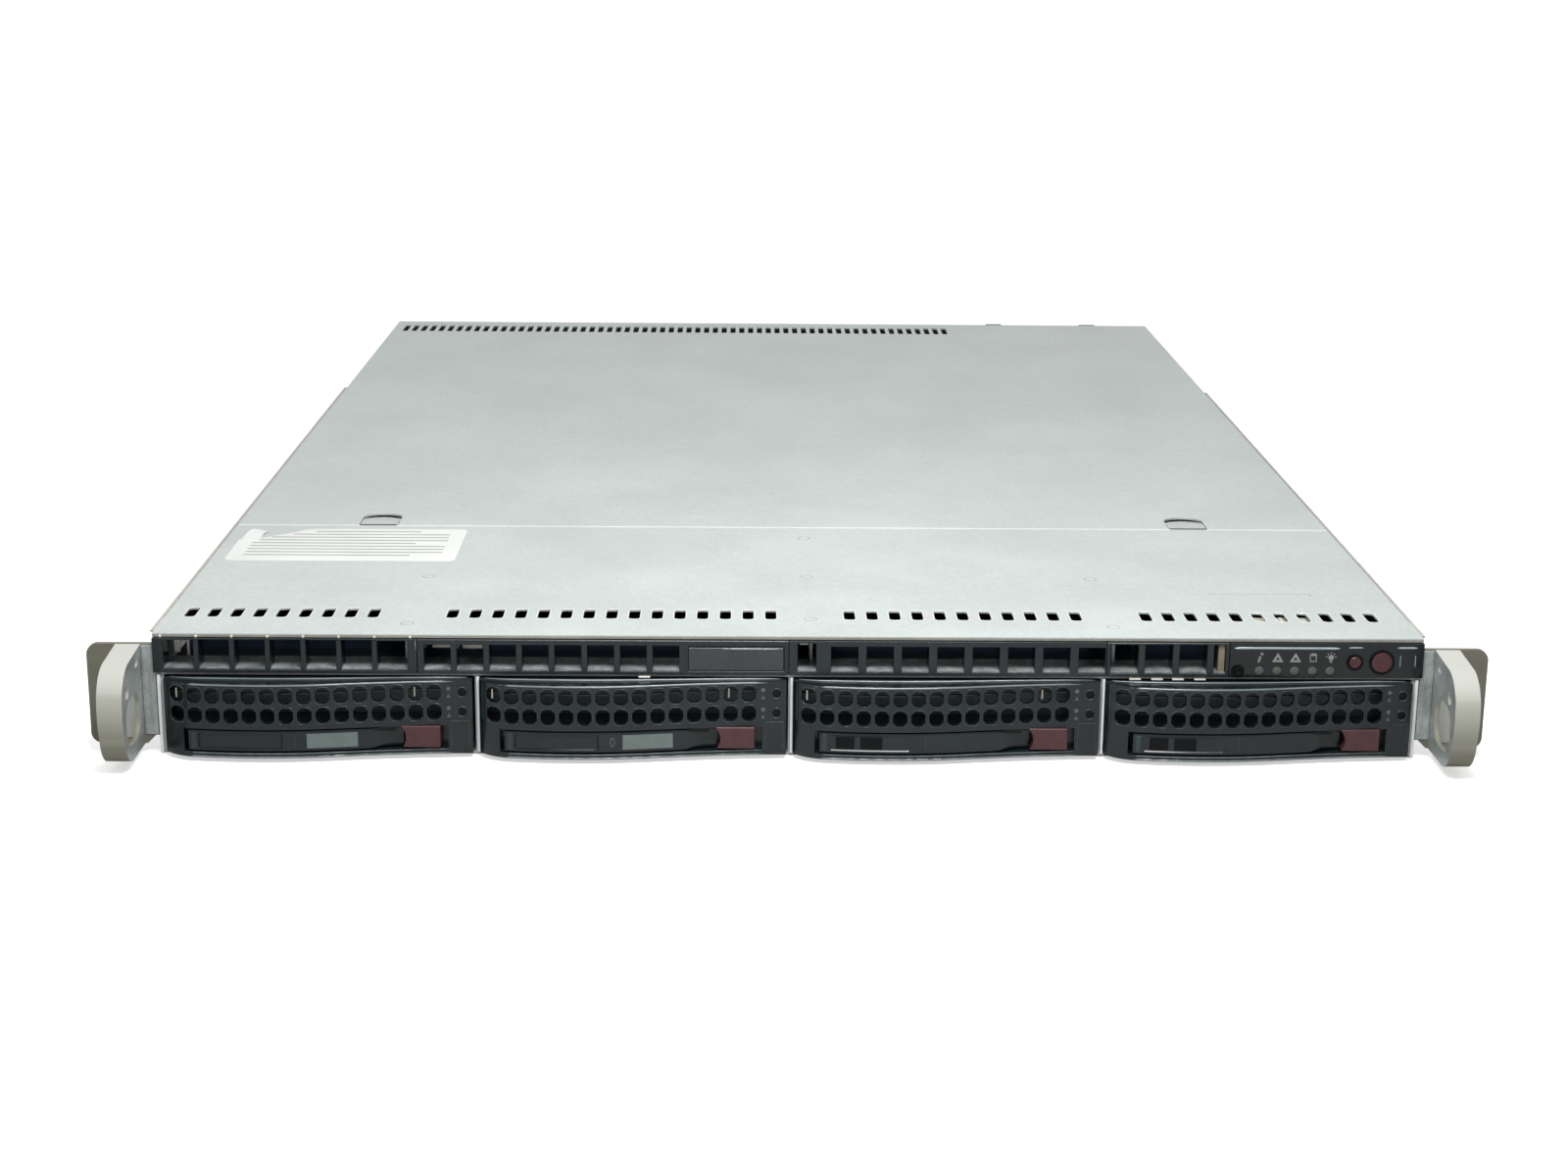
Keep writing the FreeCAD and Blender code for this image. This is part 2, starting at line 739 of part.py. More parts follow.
def bowed_outline(drawing, inset, depth):
    """Plan of a carrier front: deepest left of its middle, pulled in by inset on all sides."""
    left = f"{BAY_LEFT} + {inset}"
    right = f"{BAY_LEFT} + {CARRIER_WIDTH} - {inset}"
    corners = [
        (left, f"{FRONT} + {depth}"),
        (left, f"{FRONT} - bow_left + {inset}"),
        (f"{BAY_LEFT} + bow_corner_end", f"{FRONT} - bow_corner + {inset}"),
        (f"{BAY_LEFT} + bow_peak_end", f"{FRONT} - bow_peak + bow_peak_fall + {inset}"),
        (right, f"{FRONT} - bow_right + {inset}"),
        (right, f"{FRONT} + {depth}"),
    ]
    arcs = {
        1: (f"{BAY_LEFT} + bow_corner_middle + {inset} / 3",
            f"{FRONT} - bow_corner + bow_corner_round + {inset}"),
        2: (f"{BAY_LEFT} + bow_peak_middle", f"{FRONT} - bow_peak + {inset}"),
        3: (f"{BAY_LEFT} + bow_sag_middle", f"{FRONT} - bow_right - bow_sag + {inset}"),
    }
    outline(drawing, corners, arcs)


def bowed_block(name, low, height):
    """A slab with the carrier's bowed plan, that lever and button are trimmed from."""
    body = new_body(name)
    plan = sketch(body, name + "_plan", "XY_Plane", low)
    bowed_outline(plan, "0", "carrier_face")
    pad(body, plan, height)
    return body


LEVER_LEFT = f"({BAY_LEFT} + lever_start)"
LEVER_RIGHT = f"({LEVER_LEFT} + lever_length)"
BUTTON_RIGHT = f"({LEVER_RIGHT} + recess_gap + button_length)"
LEVER_BACK = f"({FRONT} - bow_right + lever_thickness - 1)"
PIVOT_X = f"({LEVER_LEFT} + lever_knuckle_radius)"
PIVOT_Y = f"({LEVER_BACK} - lever_thickness - lever_knuckle_offset / 2)"


def make_carrier():
    body = new_body("drive_carrier_1")
    face = sketch(body, "carrier_plan", "XY_Plane", "chassis_sheet + carrier_trim")
    bowed_outline(face, "0", "carrier_face")
    pad(body, face, f"{DECK_UNDER} - chassis_sheet - 2 * carrier_trim")
    runners = sketch(body, "carrier_runners", "XY_Plane", DRIVE_BOTTOM)
    start = f"{FRONT} + carrier_face"
    end = f"{start} + drive_length + carrier_back_bar"
    right = f"{BAY_LEFT} + {CARRIER_WIDTH}"
    rectangle(runners, (BAY_LEFT, f"{BAY_LEFT} + carrier_wall"), (start, end))
    rectangle(runners, (f"{right} - carrier_wall", right), (start, end))
    pad(body, runners, "runner_height")
    sill = "(grille_low_row - grille_hole_height / 2 - grille_sill)"
    hollow = sketch(body, "carrier_hollow", "XY_Plane", sill)
    bowed_outline(hollow, "carrier_shell", "carrier_face + 1")
    ceiling = f"({DECK_UNDER} - carrier_trim - carrier_roof)"
    pocket(body, hollow, f"{ceiling} - {sill}", backwards=True)
    recess = sketch(body, "lever_recess", "XY_Plane", "lever_bottom - recess_gap")
    span = (f"{LEVER_LEFT} - recess_gap", f"{BUTTON_RIGHT} + button_travel + recess_gap")
    rectangle(recess, span, (f"{FRONT} - 2 * bow_peak", f"{LEVER_BACK} + recess_gap"))
    pocket(body, recess, "lever_height + 2 * recess_gap", backwards=True)
    pivot = sketch(body, "lever_pivot", "XY_Plane", "lever_bottom - recess_gap")
    disc(pivot, PIVOT_X, PIVOT_Y, "lever_pin_radius")
    pad(body, pivot, "lever_height + 2 * recess_gap")
    hole = sketch(body, "grille_hole", "XZ_Plane", f"-({FRONT})")
    left = f"{BAY_LEFT} + grille_margin"
    edge_right = f"{left} + grille_hole_width"
    for middle in ("grille_low_row", "grille_high_row"):
        low = f"{middle} - grille_hole_height / 2"
        high = f"{middle} + grille_hole_height / 2"
        outline(hole, [
            (f"{left} + grille_hole_corner", low), (f"{edge_right} - grille_hole_corner", low),
            (edge_right, f"{low} + grille_hole_corner"), (edge_right, f"{high} - grille_hole_corner"),
            (f"{edge_right} - grille_hole_corner", high), (f"{left} + grille_hole_corner", high),
            (left, f"{high} - grille_hole_corner"), (left, f"{low} + grille_hole_corner"),
        ])
    first = pocket(body, hole, "2 * (bow_peak + 1)", both_ways=True)
    row_of(body, first, "grille_columns", "grille_pitch")
    return node(body)


def make_drive():
    """A 3.5 inch hard drive between the runners, with its plug at the rear."""
    left = f"{BAY_LEFT} + carrier_wall"
    start = f"{FRONT} + carrier_face + drive_start_gap"
    case = box("drive_case", (left, f"{left} + drive_width"), (start, f"{start} + drive_length"),
               (DRIVE_BOTTOM, f"{DRIVE_BOTTOM} + drive_height"))
    under = box("drive_underside",
                (f"{left} + drive_recess_side", f"{left} + drive_width - drive_recess_side"),
                (f"{start} + drive_recess_front", f"{start} + drive_length - drive_recess_rear"),
                (f"{DRIVE_BOTTOM} - 1", f"{DRIVE_BOTTOM} + drive_recess_depth"))
    return node(cut("hard_drive_1", case, [under]))


def make_lever():
    """Pull lever: a bowed bar with a knuckle on a pin, and a recessed label window in its face."""
    bow = bowed_block("lever_bow", "lever_bottom", "lever_height")
    reach = box("lever_reach", (f"{PIVOT_X} + lever_knuckle_offset", LEVER_RIGHT),
                (f"{FRONT} - bow_peak - 1", LEVER_BACK), ("lever_bottom", "lever_bottom + lever_height"))
    knuckle = rod("lever_knuckle", "z", "lever_knuckle_radius", "lever_height",
                  (PIVOT_X, PIVOT_Y, "lever_bottom"))
    trimmed = join("lever_bar", [overlap("lever_bow_bar", [bow, reach]), knuckle])
    pin_hole = rod("lever_pin_hole", "z", "lever_pin_radius + pivot_gap", "lever_height + 2",
                   (PIVOT_X, PIVOT_Y, "lever_bottom - 1"))
    window_left = f"{LEVER_LEFT} + lever_window_start"
    window = box("lever_window", (window_left, f"{window_left} + lever_window_length"),
                 (f"{FRONT} - bow_peak - 1", f"{FRONT} - bow_peak + lever_window_fall + lever_window_depth"),
                 ("lever_bottom + lever_window_rim", "lever_bottom + lever_height - lever_window_rim"))
    return node(cut("carrier_lever_1", trimmed, [pin_hole, window]))


def make_release_button():
    """Button at the free end of the lever; it slides away from the lever to free it."""
    bow = bowed_block("button_bow", "lever_bottom", "lever_height")
    left = f"{LEVER_RIGHT} + recess_gap"
    rise = ("lever_bottom + button_floor_gap", "lever_bottom + lever_height")
    reach = box("button_reach", (left, BUTTON_RIGHT),
                (f"{FRONT} - bow_peak - 1", f"{LEVER_BACK} + button_floor_gap"), rise)
    face = overlap("button_face", [bow, reach])
    cap = box("button_cap", (f"{left} + 1", BUTTON_RIGHT),
              (f"{FRONT} - bow_right - button_front - button_proud",
               f"{FRONT} - bow_right + button_back"), rise)
    return node(join("release_button_1", [face, cap]))


def make_bays():
    for original in (make_carrier(), make_drive(), make_lever(), make_release_button()):
        stem = original.Name[:-1]
        for bay in (2, 3, 4):
            node(copy_of(f"{stem}{bay}", original, f"{bay - 1} * {BAY_PITCH}"))


# Upper bezel: moulded vent grilles over the deck


def vent_bezel(name, left, right, cells_left, cell_width, cell_pitch, cell_count, cell_low, cell_high):
    """A moulded bar with a row of open cells through it."""
    body = new_body(name)
    front = f"{FRONT} - bezel_proud"
    face = sketch(body, name + "_face", "XZ_Plane", f"-({front})")
    rectangle(face, (left, right), (f"{DECK_TOP} + bezel_gap", f"{COVER_UNDER} - cover_lip - bezel_gap"))
    pad(body, face, "bezel_depth", backwards=True)
    cell = sketch(body, name + "_cell", "XZ_Plane", f"-({front})")
    rectangle(cell, (cells_left, f"{cells_left} + {cell_width}"), (cell_low, cell_high))
    first = pocket(body, cell, "2 * (bezel_depth + 1)", both_ways=True)
    row_of(body, first, cell_count, cell_pitch)
    return body


BEZEL_LOW = f"({DECK_TOP} + bezel_gap)"
BEZEL_HIGH = f"({COVER_UNDER} - cover_lip - bezel_gap)"
LEFT_SPLIT = f"(-{BAY_PITCH} - bezel_split_left)"
MIDDLE_SPLIT = "(-bezel_split_middle)"
RIGHT_SPLIT = f"({BAY_PITCH} + bezel_split_right)"
PANEL_LEFT = f"({HALF} - panel_width)"


def make_vent_bezels():
    joint = "bezel_gap / 2"
    low = f"{BEZEL_LOW} + bezel_rail"
    middle_high = f"{BEZEL_HIGH} - middle_cell_top"
    corner_high = f"{BEZEL_HIGH} - corner_cell_top"
    node(vent_bezel("left_vent_bezel", f"-{HALF}", f"{LEFT_SPLIT} - {joint}", f"-{HALF} + left_cell_start",
                    "left_cell_width", "left_cell_pitch", 7, low, f"{BEZEL_HIGH} - left_cell_top"))
    middle = vent_bezel("middle_vent_bezel", f"{LEFT_SPLIT} + {joint}", f"{MIDDLE_SPLIT} - {joint}",
                        f"{LEFT_SPLIT} + middle_cell_start", "middle_cell_width", "middle_cell_pitch", 8,
                        low, middle_high)
    plate = sketch(middle, "name_plate", "XZ_Plane", f"-({FRONT} - bezel_proud)")
    plate_right = f"{MIDDLE_SPLIT} - plate_margin"
    rectangle(plate, (f"{plate_right} - plate_length", plate_right), (low, middle_high))
    pocket(middle, plate, "2 * plate_recess", both_ways=True)
    node(middle)
    right = vent_bezel("right_vent_bezel", f"{MIDDLE_SPLIT} + {joint}", f"{RIGHT_SPLIT} - {joint}",
                       "right_cell_start", "right_cell_width", "right_cell_pitch", 8, low, middle_high)
    post_cell = sketch(right, "post_cell", "XZ_Plane", f"-({FRONT} - bezel_proud)")
    rectangle(post_cell, ("post_cell_start", "post_cell_start + post_cell_width"), (low, corner_high))
    pocket(right, post_cell, "2 * (bezel_depth + 1)", both_ways=True)
    node(right)
    corner = vent_bezel("corner_vent_bezel", f"{RIGHT_SPLIT} + {joint}", f"{PANEL_LEFT} - {joint}",
                        f"{RIGHT_SPLIT} + corner_cell_start", "corner_cell_width", "corner_cell_pitch", 3,
                        low, corner_high)
    slit = sketch(corner, "narrow_cell", "XZ_Plane", f"-({FRONT} - bezel_proud)")
    slit_right = f"{PANEL_LEFT} - corner_cell_start"
    rectangle(slit, (f"{slit_right} - narrow_cell_width", slit_right), (low, corner_high))
    pocket(corner, slit, "2 * (bezel_depth + 1)", both_ways=True)
    node(corner)


# Control panel with its lenses, buttons and board

PANEL_FRONT = f"({FRONT} - bezel_proud)"
PANEL_BOARD = f"({PANEL_FRONT} + panel_wall + press_flange + press_travel + panel_board_gap)"
PRESS_BUTTONS = (
    # name, distance from the right side, height, radius
    ("power_button", "power_inset", "buttons_height", "power_radius"),
    ("reset_button", "reset_inset", "buttons_height", "reset_radius"),
    ("locator_button", "locator_inset", "lens_height", "locator_radius"),
)
LENSES = 5


def lens_place(index):
    return f"{PANEL_LEFT} + lens_start + {index} * lens_pitch"


def make_control_panel():
    body = new_body("control_panel")
    face = sketch(body, "panel_face", "XZ_Plane", f"-({PANEL_FRONT})")
    rectangle(face, (f"{PANEL_LEFT} + bezel_gap / 2", HALF), (BEZEL_LOW, BEZEL_HIGH))
    pad(body, face, "bezel_depth", backwards=True)
    back = sketch(body, "panel_back", "XZ_Plane", f"-({PANEL_FRONT} + bezel_depth)")
    rectangle(back, (f"{PANEL_LEFT} + panel_side", f"{HALF} - panel_side"),
              (f"{BEZEL_LOW} + panel_floor", f"{BEZEL_HIGH} - panel_side"))
    pocket(body, back, "bezel_depth - panel_wall", backwards=True)
    holes = sketch(body, "panel_holes", "XZ_Plane", f"-({PANEL_FRONT})")
    for index in range(LENSES):
        disc(holes, lens_place(index), "lens_height", "lens_radius")
    for name, inset, height, radius in PRESS_BUTTONS:
        disc(holes, f"{HALF} - {inset}", height, f"{radius} + press_gap")
    pocket(body, holes, "4 * panel_wall", both_ways=True)
    return node(body)


def make_lenses():
    solids = []
    for index in range(LENSES):
        place = (lens_place(index), f"{PANEL_FRONT} + 0.1", "lens_height")
        solids.append(rod(f"lens_{index + 1}", "y", "lens_radius", "panel_wall + 1", place))
    return node(group("indicator_lenses", solids))


def make_press_button(name, inset, height, radius):
    """A round cap with a flange behind the panel, so that it can't fall out."""
    across = f"{HALF} - {inset}"
    length = "press_proud + panel_wall + press_gap"
    cap = rod(name + "_cap", "y", radius, length, (across, f"{PANEL_FRONT} - press_proud", height))
    flange = rod(name + "_flange", "y", f"{radius} + press_flange_rim", "press_flange",
                 (across, f"{PANEL_FRONT} + panel_wall + press_gap", height))
    stem = rod(name + "_stem", "y", "locator_radius / 2", "panel_board_gap - 2 * press_gap - 1",
               (across, f"{PANEL_FRONT} + panel_wall + press_gap + press_flange", height))
    return node(join(name, [cap, flange, stem]))


def make_control_board():
    """Board behind the panel, with a tact switch behind each button."""
    board = box("panel_circuit", (f"{PANEL_LEFT} + panel_side", f"{HALF} - panel_side"),
                (PANEL_BOARD, f"{PANEL_BOARD} + panel_board_sheet"),
                (f"{BEZEL_LOW} + panel_side", f"{BEZEL_HIGH} - panel_side - sliding_gap"))
    solids = [board]
    for name, inset, height, radius in PRESS_BUTTONS:
        across = f"{HALF} - {inset}"
        solids.append(box(name + "_switch", (f"{across} - 1.4", f"{across} + 1.4"),
                          (f"{PANEL_BOARD} - 1", PANEL_BOARD), (f"{height} - 1.4", f"{height} + 1.4")))
    return node(join("control_board", solids))


# Rack handles: ear flange, leg on the chassis side, and a D-shaped loop with a web


def loop_outline(drawing, inset):
    """Side view of the loop, seen along X; inset pulls every edge in."""
    nose = f"{FRONT} - handle_reach"
    corners = [
        (f"{FRONT} + ear_sheet", f"ear_top - {inset}"),
        (f"{nose} + nose_corner", f"ear_top - 1.6 - {inset}"),
        (f"{nose} + 0.8 + {inset}", "ear_top - nose_top"),
        (f"{nose} + 1.4 + {inset}", "ear_bottom + nose_bottom"),
        (f"{nose} + nose_corner", f"ear_bottom + {inset}"),
        (f"{FRONT} + ear_sheet", f"ear_bottom + {inset}"),
    ]
    arcs = {
        1: (f"{nose} + 4 + {inset} * 0.7", f"ear_top - 5 - {inset} * 0.7"),
        2: (f"{nose} + {inset}", "ear_bottom + 19.6"),
        3: (f"{nose} + 4.6 + {inset} * 0.7", f"ear_bottom + 3.6 + {inset} * 0.7"),
    }
    outline(drawing, corners, arcs)


def make_handle(name, side):
    """side is -1 on the left and 1 on the right."""
    body = new_body(name)
    inner = f"{side} * ({HALF} + handle_offset)"
    outer = f"{side} * ({HALF} + handle_offset + handle_width)"
    outward = side < 0
    loop = sketch(body, name + "_loop", "YZ_Plane", inner)
    loop_outline(loop, "0")
    pad(body, loop, "handle_width", backwards=outward)
    hollow = sketch(body, name + "_hollow", "YZ_Plane", outer)
    loop_outline(hollow, "handle_band")
    pocket(body, hollow, "handle_width - handle_web", backwards=outward)
    gap = sketch(body, name + "_finger_gap", "YZ_Plane", inner)
    nose = f"{FRONT} - handle_reach"
    low, high = "ear_bottom + grip_bottom", "ear_bottom + grip_top"
    rounded(gap, (f"{nose} + grip_front", f"{FRONT} - grip_rear"), (low, high), "grip_corner")
    disc(gap, f"{nose} + web_hole_back", "ear_top - web_hole_drop", "web_hole_radius")
    rounded(gap, (f"{FRONT} - web_slot_front", f"{FRONT} - grip_front"),
            ("ear_top - web_slot_bottom", "ear_top - web_slot_top"), "web_slot_corner")
    pocket(body, gap, "4 * handle_web", both_ways=True)
    ear = sketch(body, name + "_ear", "XZ_Plane", f"-({FRONT})")
    near, far = f"{side} * ({HALF} + ear_gap)", f"{side} * ({HALF} + ear_gap + ear_reach - ear_gap)"
    turned = f"{side} * (1 - cos(45)) * ear_corner"
    outline(ear, [
        (near, "ear_bottom + ear_chamfer"),
        (f"{near} + {side} * ear_chamfer", "ear_bottom"),
        (f"{far} - {side} * ear_corner", "ear_bottom"),
        (far, "ear_bottom + ear_corner"),
        (far, "ear_top - ear_corner"),
        (f"{far} - {side} * ear_corner", "ear_top"),
        (near, "ear_top"),
    ], {
        2: (f"{far} - {turned}", "ear_bottom + (1 - cos(45)) * ear_corner"),
        4: (f"{far} - {turned}", "ear_top - (1 - cos(45)) * ear_corner"),
    })
    pad(body, ear, "ear_sheet", backwards=True)
    leg = sketch(body, name + "_leg", "XY_Plane", "ear_bottom + ear_chamfer")
    wall, leg_face = f"{side} * {CHASSIS_HALF}", f"{side} * ({CHASSIS_HALF} + ear_sheet)"
    if side < 0:
        wall, leg_face = leg_face, wall
    rectangle(leg, (wall, leg_face), (FRONT, f"{FRONT} + ear_leg_depth"))
    pad(body, leg, f"{DECK_UNDER} - ear_bottom - ear_chamfer")
    hole = sketch(body, name + "_hole", "XZ_Plane", f"-({FRONT})")
    middle = f"{side} * ({HALF} + ear_hole_offset)"
    rounded(hole, (f"{middle} - ear_hole_slot / 2", f"{middle} + ear_hole_slot / 2"),
            ("ear_hole_height - ear_hole_radius", "ear_hole_height + ear_hole_radius"),
            "ear_hole_radius * 0.999")
    pocket(body, hole, "4 * ear_sheet", both_ways=True)
    return node(body)


# Slide rails: channel sections screwed to the chassis sides

RAIL_START = f"({FRONT} + ear_leg_depth + sliding_gap)"


def make_inner_rail(name, side):
    body = new_body(name)
    section = sketch(body, name + "_section", "XZ_Plane", f"-({RAIL_START})")
    wall = f"{side} * {CHASSIS_HALF}"
    web = f"{side} * ({CHASSIS_HALF} + rail_sheet)"
    lip = f"{side} * ({CHASSIS_HALF} + rail_lip)"
    top = "rail_bottom + rail_height"
    outline(section, [
        (wall, "rail_bottom"), (lip, "rail_bottom"), (lip, "rail_bottom + rail_sheet"),
        (web, "rail_bottom + rail_sheet"), (web, f"{top} - rail_sheet"), (lip, f"{top} - rail_sheet"),
        (lip, top), (wall, top),
    ])
    pad(body, section, "rail_length", backwards=True)
    return node(body)


def make_side_screws():
    """Pan heads on the ear legs and in the rail channels."""
    solids = []
    spots = [(f"{FRONT} + {back}", height, "ear_sheet") for back in (9, 18) for height in (11, 23)]
    spots += [(f"{RAIL_START} + {back}", 17.5, "rail_sheet") for back in (36, 214, 392)]
    for index, (along, height, sheet_size) in enumerate(spots, 1):
        right = (f"{CHASSIS_HALF} + {sheet_size}", along, height)
        left = (f"-{CHASSIS_HALF} - {sheet_size} - screw_head", along, height)
        for side, place in (("right", right), ("left", left)):
            solids.append(rod(f"{side}_screw_{index}", "x", "screw_radius", "screw_head", place))
    return node(group("side_screws", solids))


# Backplane behind the bays


def make_backplane():
    """Upright board with a plug for each drive and air slots."""
    half = f"({CHASSIS_HALF} - chassis_sheet - cage_sheet)"
    board = box("backplane_board", across_middle(half), (BACKPLANE_FRONT, f"{BACKPLANE_FRONT} + board_sheet"),
                ("chassis_sheet", "backplane_top"))
    slots, plugs = [], []
    through = (f"{BACKPLANE_FRONT} - 1", f"{BACKPLANE_FRONT} + board_sheet + 1")
    for bay in range(4):
        left = f"{BAY_LEFT} + {bay} * {BAY_PITCH}"
        for column in range(3):
            start = f"{left} + air_slot_start + {column} * air_slot_pitch"
            slots.append(box(f"backplane_slot_{bay}_{column}", (start, f"{start} + air_slot_width"),
                             through, ("air_slot_bottom", "air_slot_bottom + air_slot_height")))
        plugs.append(box(f"backplane_plug_{bay}", (f"{left} + plug_start", f"{left} + plug_start + plug_width"),
                         (f"{CAGE_END} + 2 * sliding_gap", BACKPLANE_FRONT),
                         ("plug_bottom", "plug_bottom + plug_height")))
    return node(join("drive_backplane", [cut("backplane_slotted", board, slots)] + plugs))


# Fans: four square frames with a stator, and a bladed rotor in each

FAN_FRONT = f"({FRONT} + fan_start)"
FAN_HEIGHT = "(fan_size / 2 + chassis_sheet)"
FAN_LEFT = f"(-{HALF} + fan_first - {BAY_PITCH})"
FAN_BORE = "(fan_size / 2 - fan_wall)"
FANS = 4


def blades(name, centre_x, centre_z, start, hub, tip, length):
    """Pitched blades round a hub: thin plates turned about their own radius."""
    plates = []
    count = int(number("blade_count"))
    for index in range(count):
        plate = doc.addObject("Part::Box", f"{name}_{index + 1}")
        plate.setExpression("Length", bind("fan_blade_sheet"))
        plate.setExpression("Width", bind(length))
        plate.setExpression("Height", bind(f"{tip} - {hub} + 1"))
        about_axis = FreeCAD.Rotation(FreeCAD.Vector(0, 1, 0), 360.0 * index / count)
        pitch = FreeCAD.Rotation(FreeCAD.Vector(0, 0, 1), number("blade_pitch"))
        turn = about_axis * pitch
        middle = (number("-fan_blade_sheet / 2"), number(f"-({length}) / 2"), number(f"{hub} - 1"))
        shift = turn.multVec(FreeCAD.Vector(*middle))
        plate.Placement = FreeCAD.Placement(FreeCAD.Vector(), turn)
        move_to(plate, (f"{centre_x} + ({shift.x})", f"{start} + ({length}) / 2 + ({shift.y})",
                        f"{centre_z} + ({shift.z})"))
        plates.append(plate)
    return plates


def make_fan():
    centre = (FAN_LEFT, FAN_FRONT, FAN_HEIGHT)
    block = box("fan_block", (f"{FAN_LEFT} - fan_size / 2", f"{FAN_LEFT} + fan_size / 2"),
                (FAN_FRONT, f"{FAN_FRONT} + fan_length"), ("chassis_sheet", "chassis_sheet + fan_size"))
    bore = rod("fan_bore", "y", FAN_BORE, "fan_length + 2", (FAN_LEFT, f"{FAN_FRONT} - 1", FAN_HEIGHT))
    ring = cut("fan_ring", block, [bore])
    stator_start = f"{FAN_FRONT} + fan_length - fan_stator_length"
    stator_place = (FAN_LEFT, stator_start, FAN_HEIGHT)
    stator = rod("fan_stator", "y", "fan_hub_radius", "fan_stator_length", stator_place)
    upright = box("fan_upright_strut", (f"{FAN_LEFT} - fan_strut / 2", f"{FAN_LEFT} + fan_strut / 2"),
                  (stator_start, f"{FAN_FRONT} + fan_length"),
                  (f"{FAN_HEIGHT} - {FAN_BORE} - 0.3", f"{FAN_HEIGHT} + {FAN_BORE} + 0.3"))
    level = box("fan_level_strut", (f"{FAN_LEFT} - {FAN_BORE} - 0.3", f"{FAN_LEFT} + {FAN_BORE} + 0.3"),
                (stator_start, f"{FAN_FRONT} + fan_length"),
                (f"{FAN_HEIGHT} - fan_strut / 2", f"{FAN_HEIGHT} + fan_strut / 2"))
    solid = join("fan_solid", [ring, stator, upright, level])
    bearing = rod("fan_bearing", "y", "shaft_radius + shaft_gap", "fan_length", stator_place)
    frame = cut("fan_frame", solid, [bearing])
    hub_start = f"{FAN_FRONT} + fan_hub_inset"
    hub_length = "fan_length - fan_stator_length - fan_hub_inset - shaft_end_gap"
    hub = rod("fan_hub", "y", "fan_hub_radius", hub_length, (FAN_LEFT, hub_start, FAN_HEIGHT))
    shaft = rod("fan_shaft", "y", "shaft_radius", f"{hub_length} + shaft_end_gap + fan_stator_length - 1",
                (FAN_LEFT, hub_start, FAN_HEIGHT))
    wings = blades("fan_blade", FAN_LEFT, FAN_HEIGHT, f"{hub_start} + 3", "fan_hub_radius",
                   f"({FAN_BORE} - fan_blade_gap - 0.6)", "fan_blade_length")
    rotor = node(join("fan_rotor_1", [hub, shaft] + wings))
    frames = [copy_of(f"fan_frame_{fan + 1}", frame, f"{fan} * fan_pitch") for fan in range(1, FANS)]
    node(group("fan_frames", [frame] + frames))
    for fan in range(1, FANS):
        node(copy_of(f"fan_rotor_{fan + 1}", rotor, f"{fan} * fan_pitch"))


# Motherboard and what stands on it

BOARD_FRONT = f"({FRONT} + mainboard_start)"
BOARD_REAR = f"({REAR} - chassis_sheet - mainboard_inset)"
BOARD_LEFT = f"(-{CHASSIS_HALF} + chassis_sheet + mainboard_inset)"
BOARD_RIGHT = f"({MODULE_LEFT} - module_gap - module_wall_sheet - mainboard_inset)"
BOARD_TOP = "(chassis_sheet + mainboard_lift + board_sheet)"
SINK_PLACES = (
    # from the board's left edge, back from its front edge
    (28.0, 40.0),
    (160.0, 40.0),
)


def make_motherboard():
    body = new_body("motherboard")
    plan = sketch(body, "board_plan", "XY_Plane", f"{BOARD_TOP} - board_sheet")
    rectangle(plan, (BOARD_LEFT, BOARD_RIGHT), (BOARD_FRONT, BOARD_REAR))
    pad(body, plan, "board_sheet")
    return node(body)


def make_standoffs():
    posts = []
    for column in range(3):
        for line in range(4):
            across = f"{BOARD_LEFT} + 10 + {column} * ({BOARD_RIGHT} - {BOARD_LEFT} - 20) / 2"
            along = f"{BOARD_FRONT} + 10 + {line} * ({BOARD_REAR} - {BOARD_FRONT} - 50) / 3"
            posts.append(rod(f"standoff_{column}_{line}", "z", "standoff_radius", "mainboard_lift",
                             (across, along, "chassis_sheet")))
    return node(group("board_standoffs", posts))


def make_heatsinks():
    """Finned blocks on the two processor sockets."""
    sinks = []
    for index, (right, back) in enumerate(SINK_PLACES, 1):
        body = new_body(f"heatsink_{index}")
        left, start = f"{BOARD_LEFT} + {right}", f"{BOARD_FRONT} + {back}"
        socket = sketch(body, f"socket_{index}", "XY_Plane", BOARD_TOP)
        rectangle(socket, (f"{left} + 16", f"{left} + heatsink_size - 16"),
                  (f"{start} + 16", f"{start} + heatsink_size - 16"))
        pad(body, socket, "socket_height")
        base = sketch(body, f"sink_base_{index}", "XY_Plane", f"{BOARD_TOP} + socket_height")
        rectangle(base, (left, f"{left} + heatsink_size"), (start, f"{start} + heatsink_size"))
        pad(body, base, "heatsink_base")
        fin = sketch(body, f"sink_fin_{index}", "XY_Plane", f"{BOARD_TOP} + socket_height + heatsink_base")
        rectangle(fin, (left, f"{left} + heatsink_fin"), (start, f"{start} + heatsink_size"))
        first = pad(body, fin, "heatsink_height - heatsink_base")
        row_of(body, first, "heatsink_fins", "(heatsink_size - heatsink_fin) / (heatsink_fins - 1)")
        sinks.append(body)
    return node(group("processor_heatsinks", sinks))


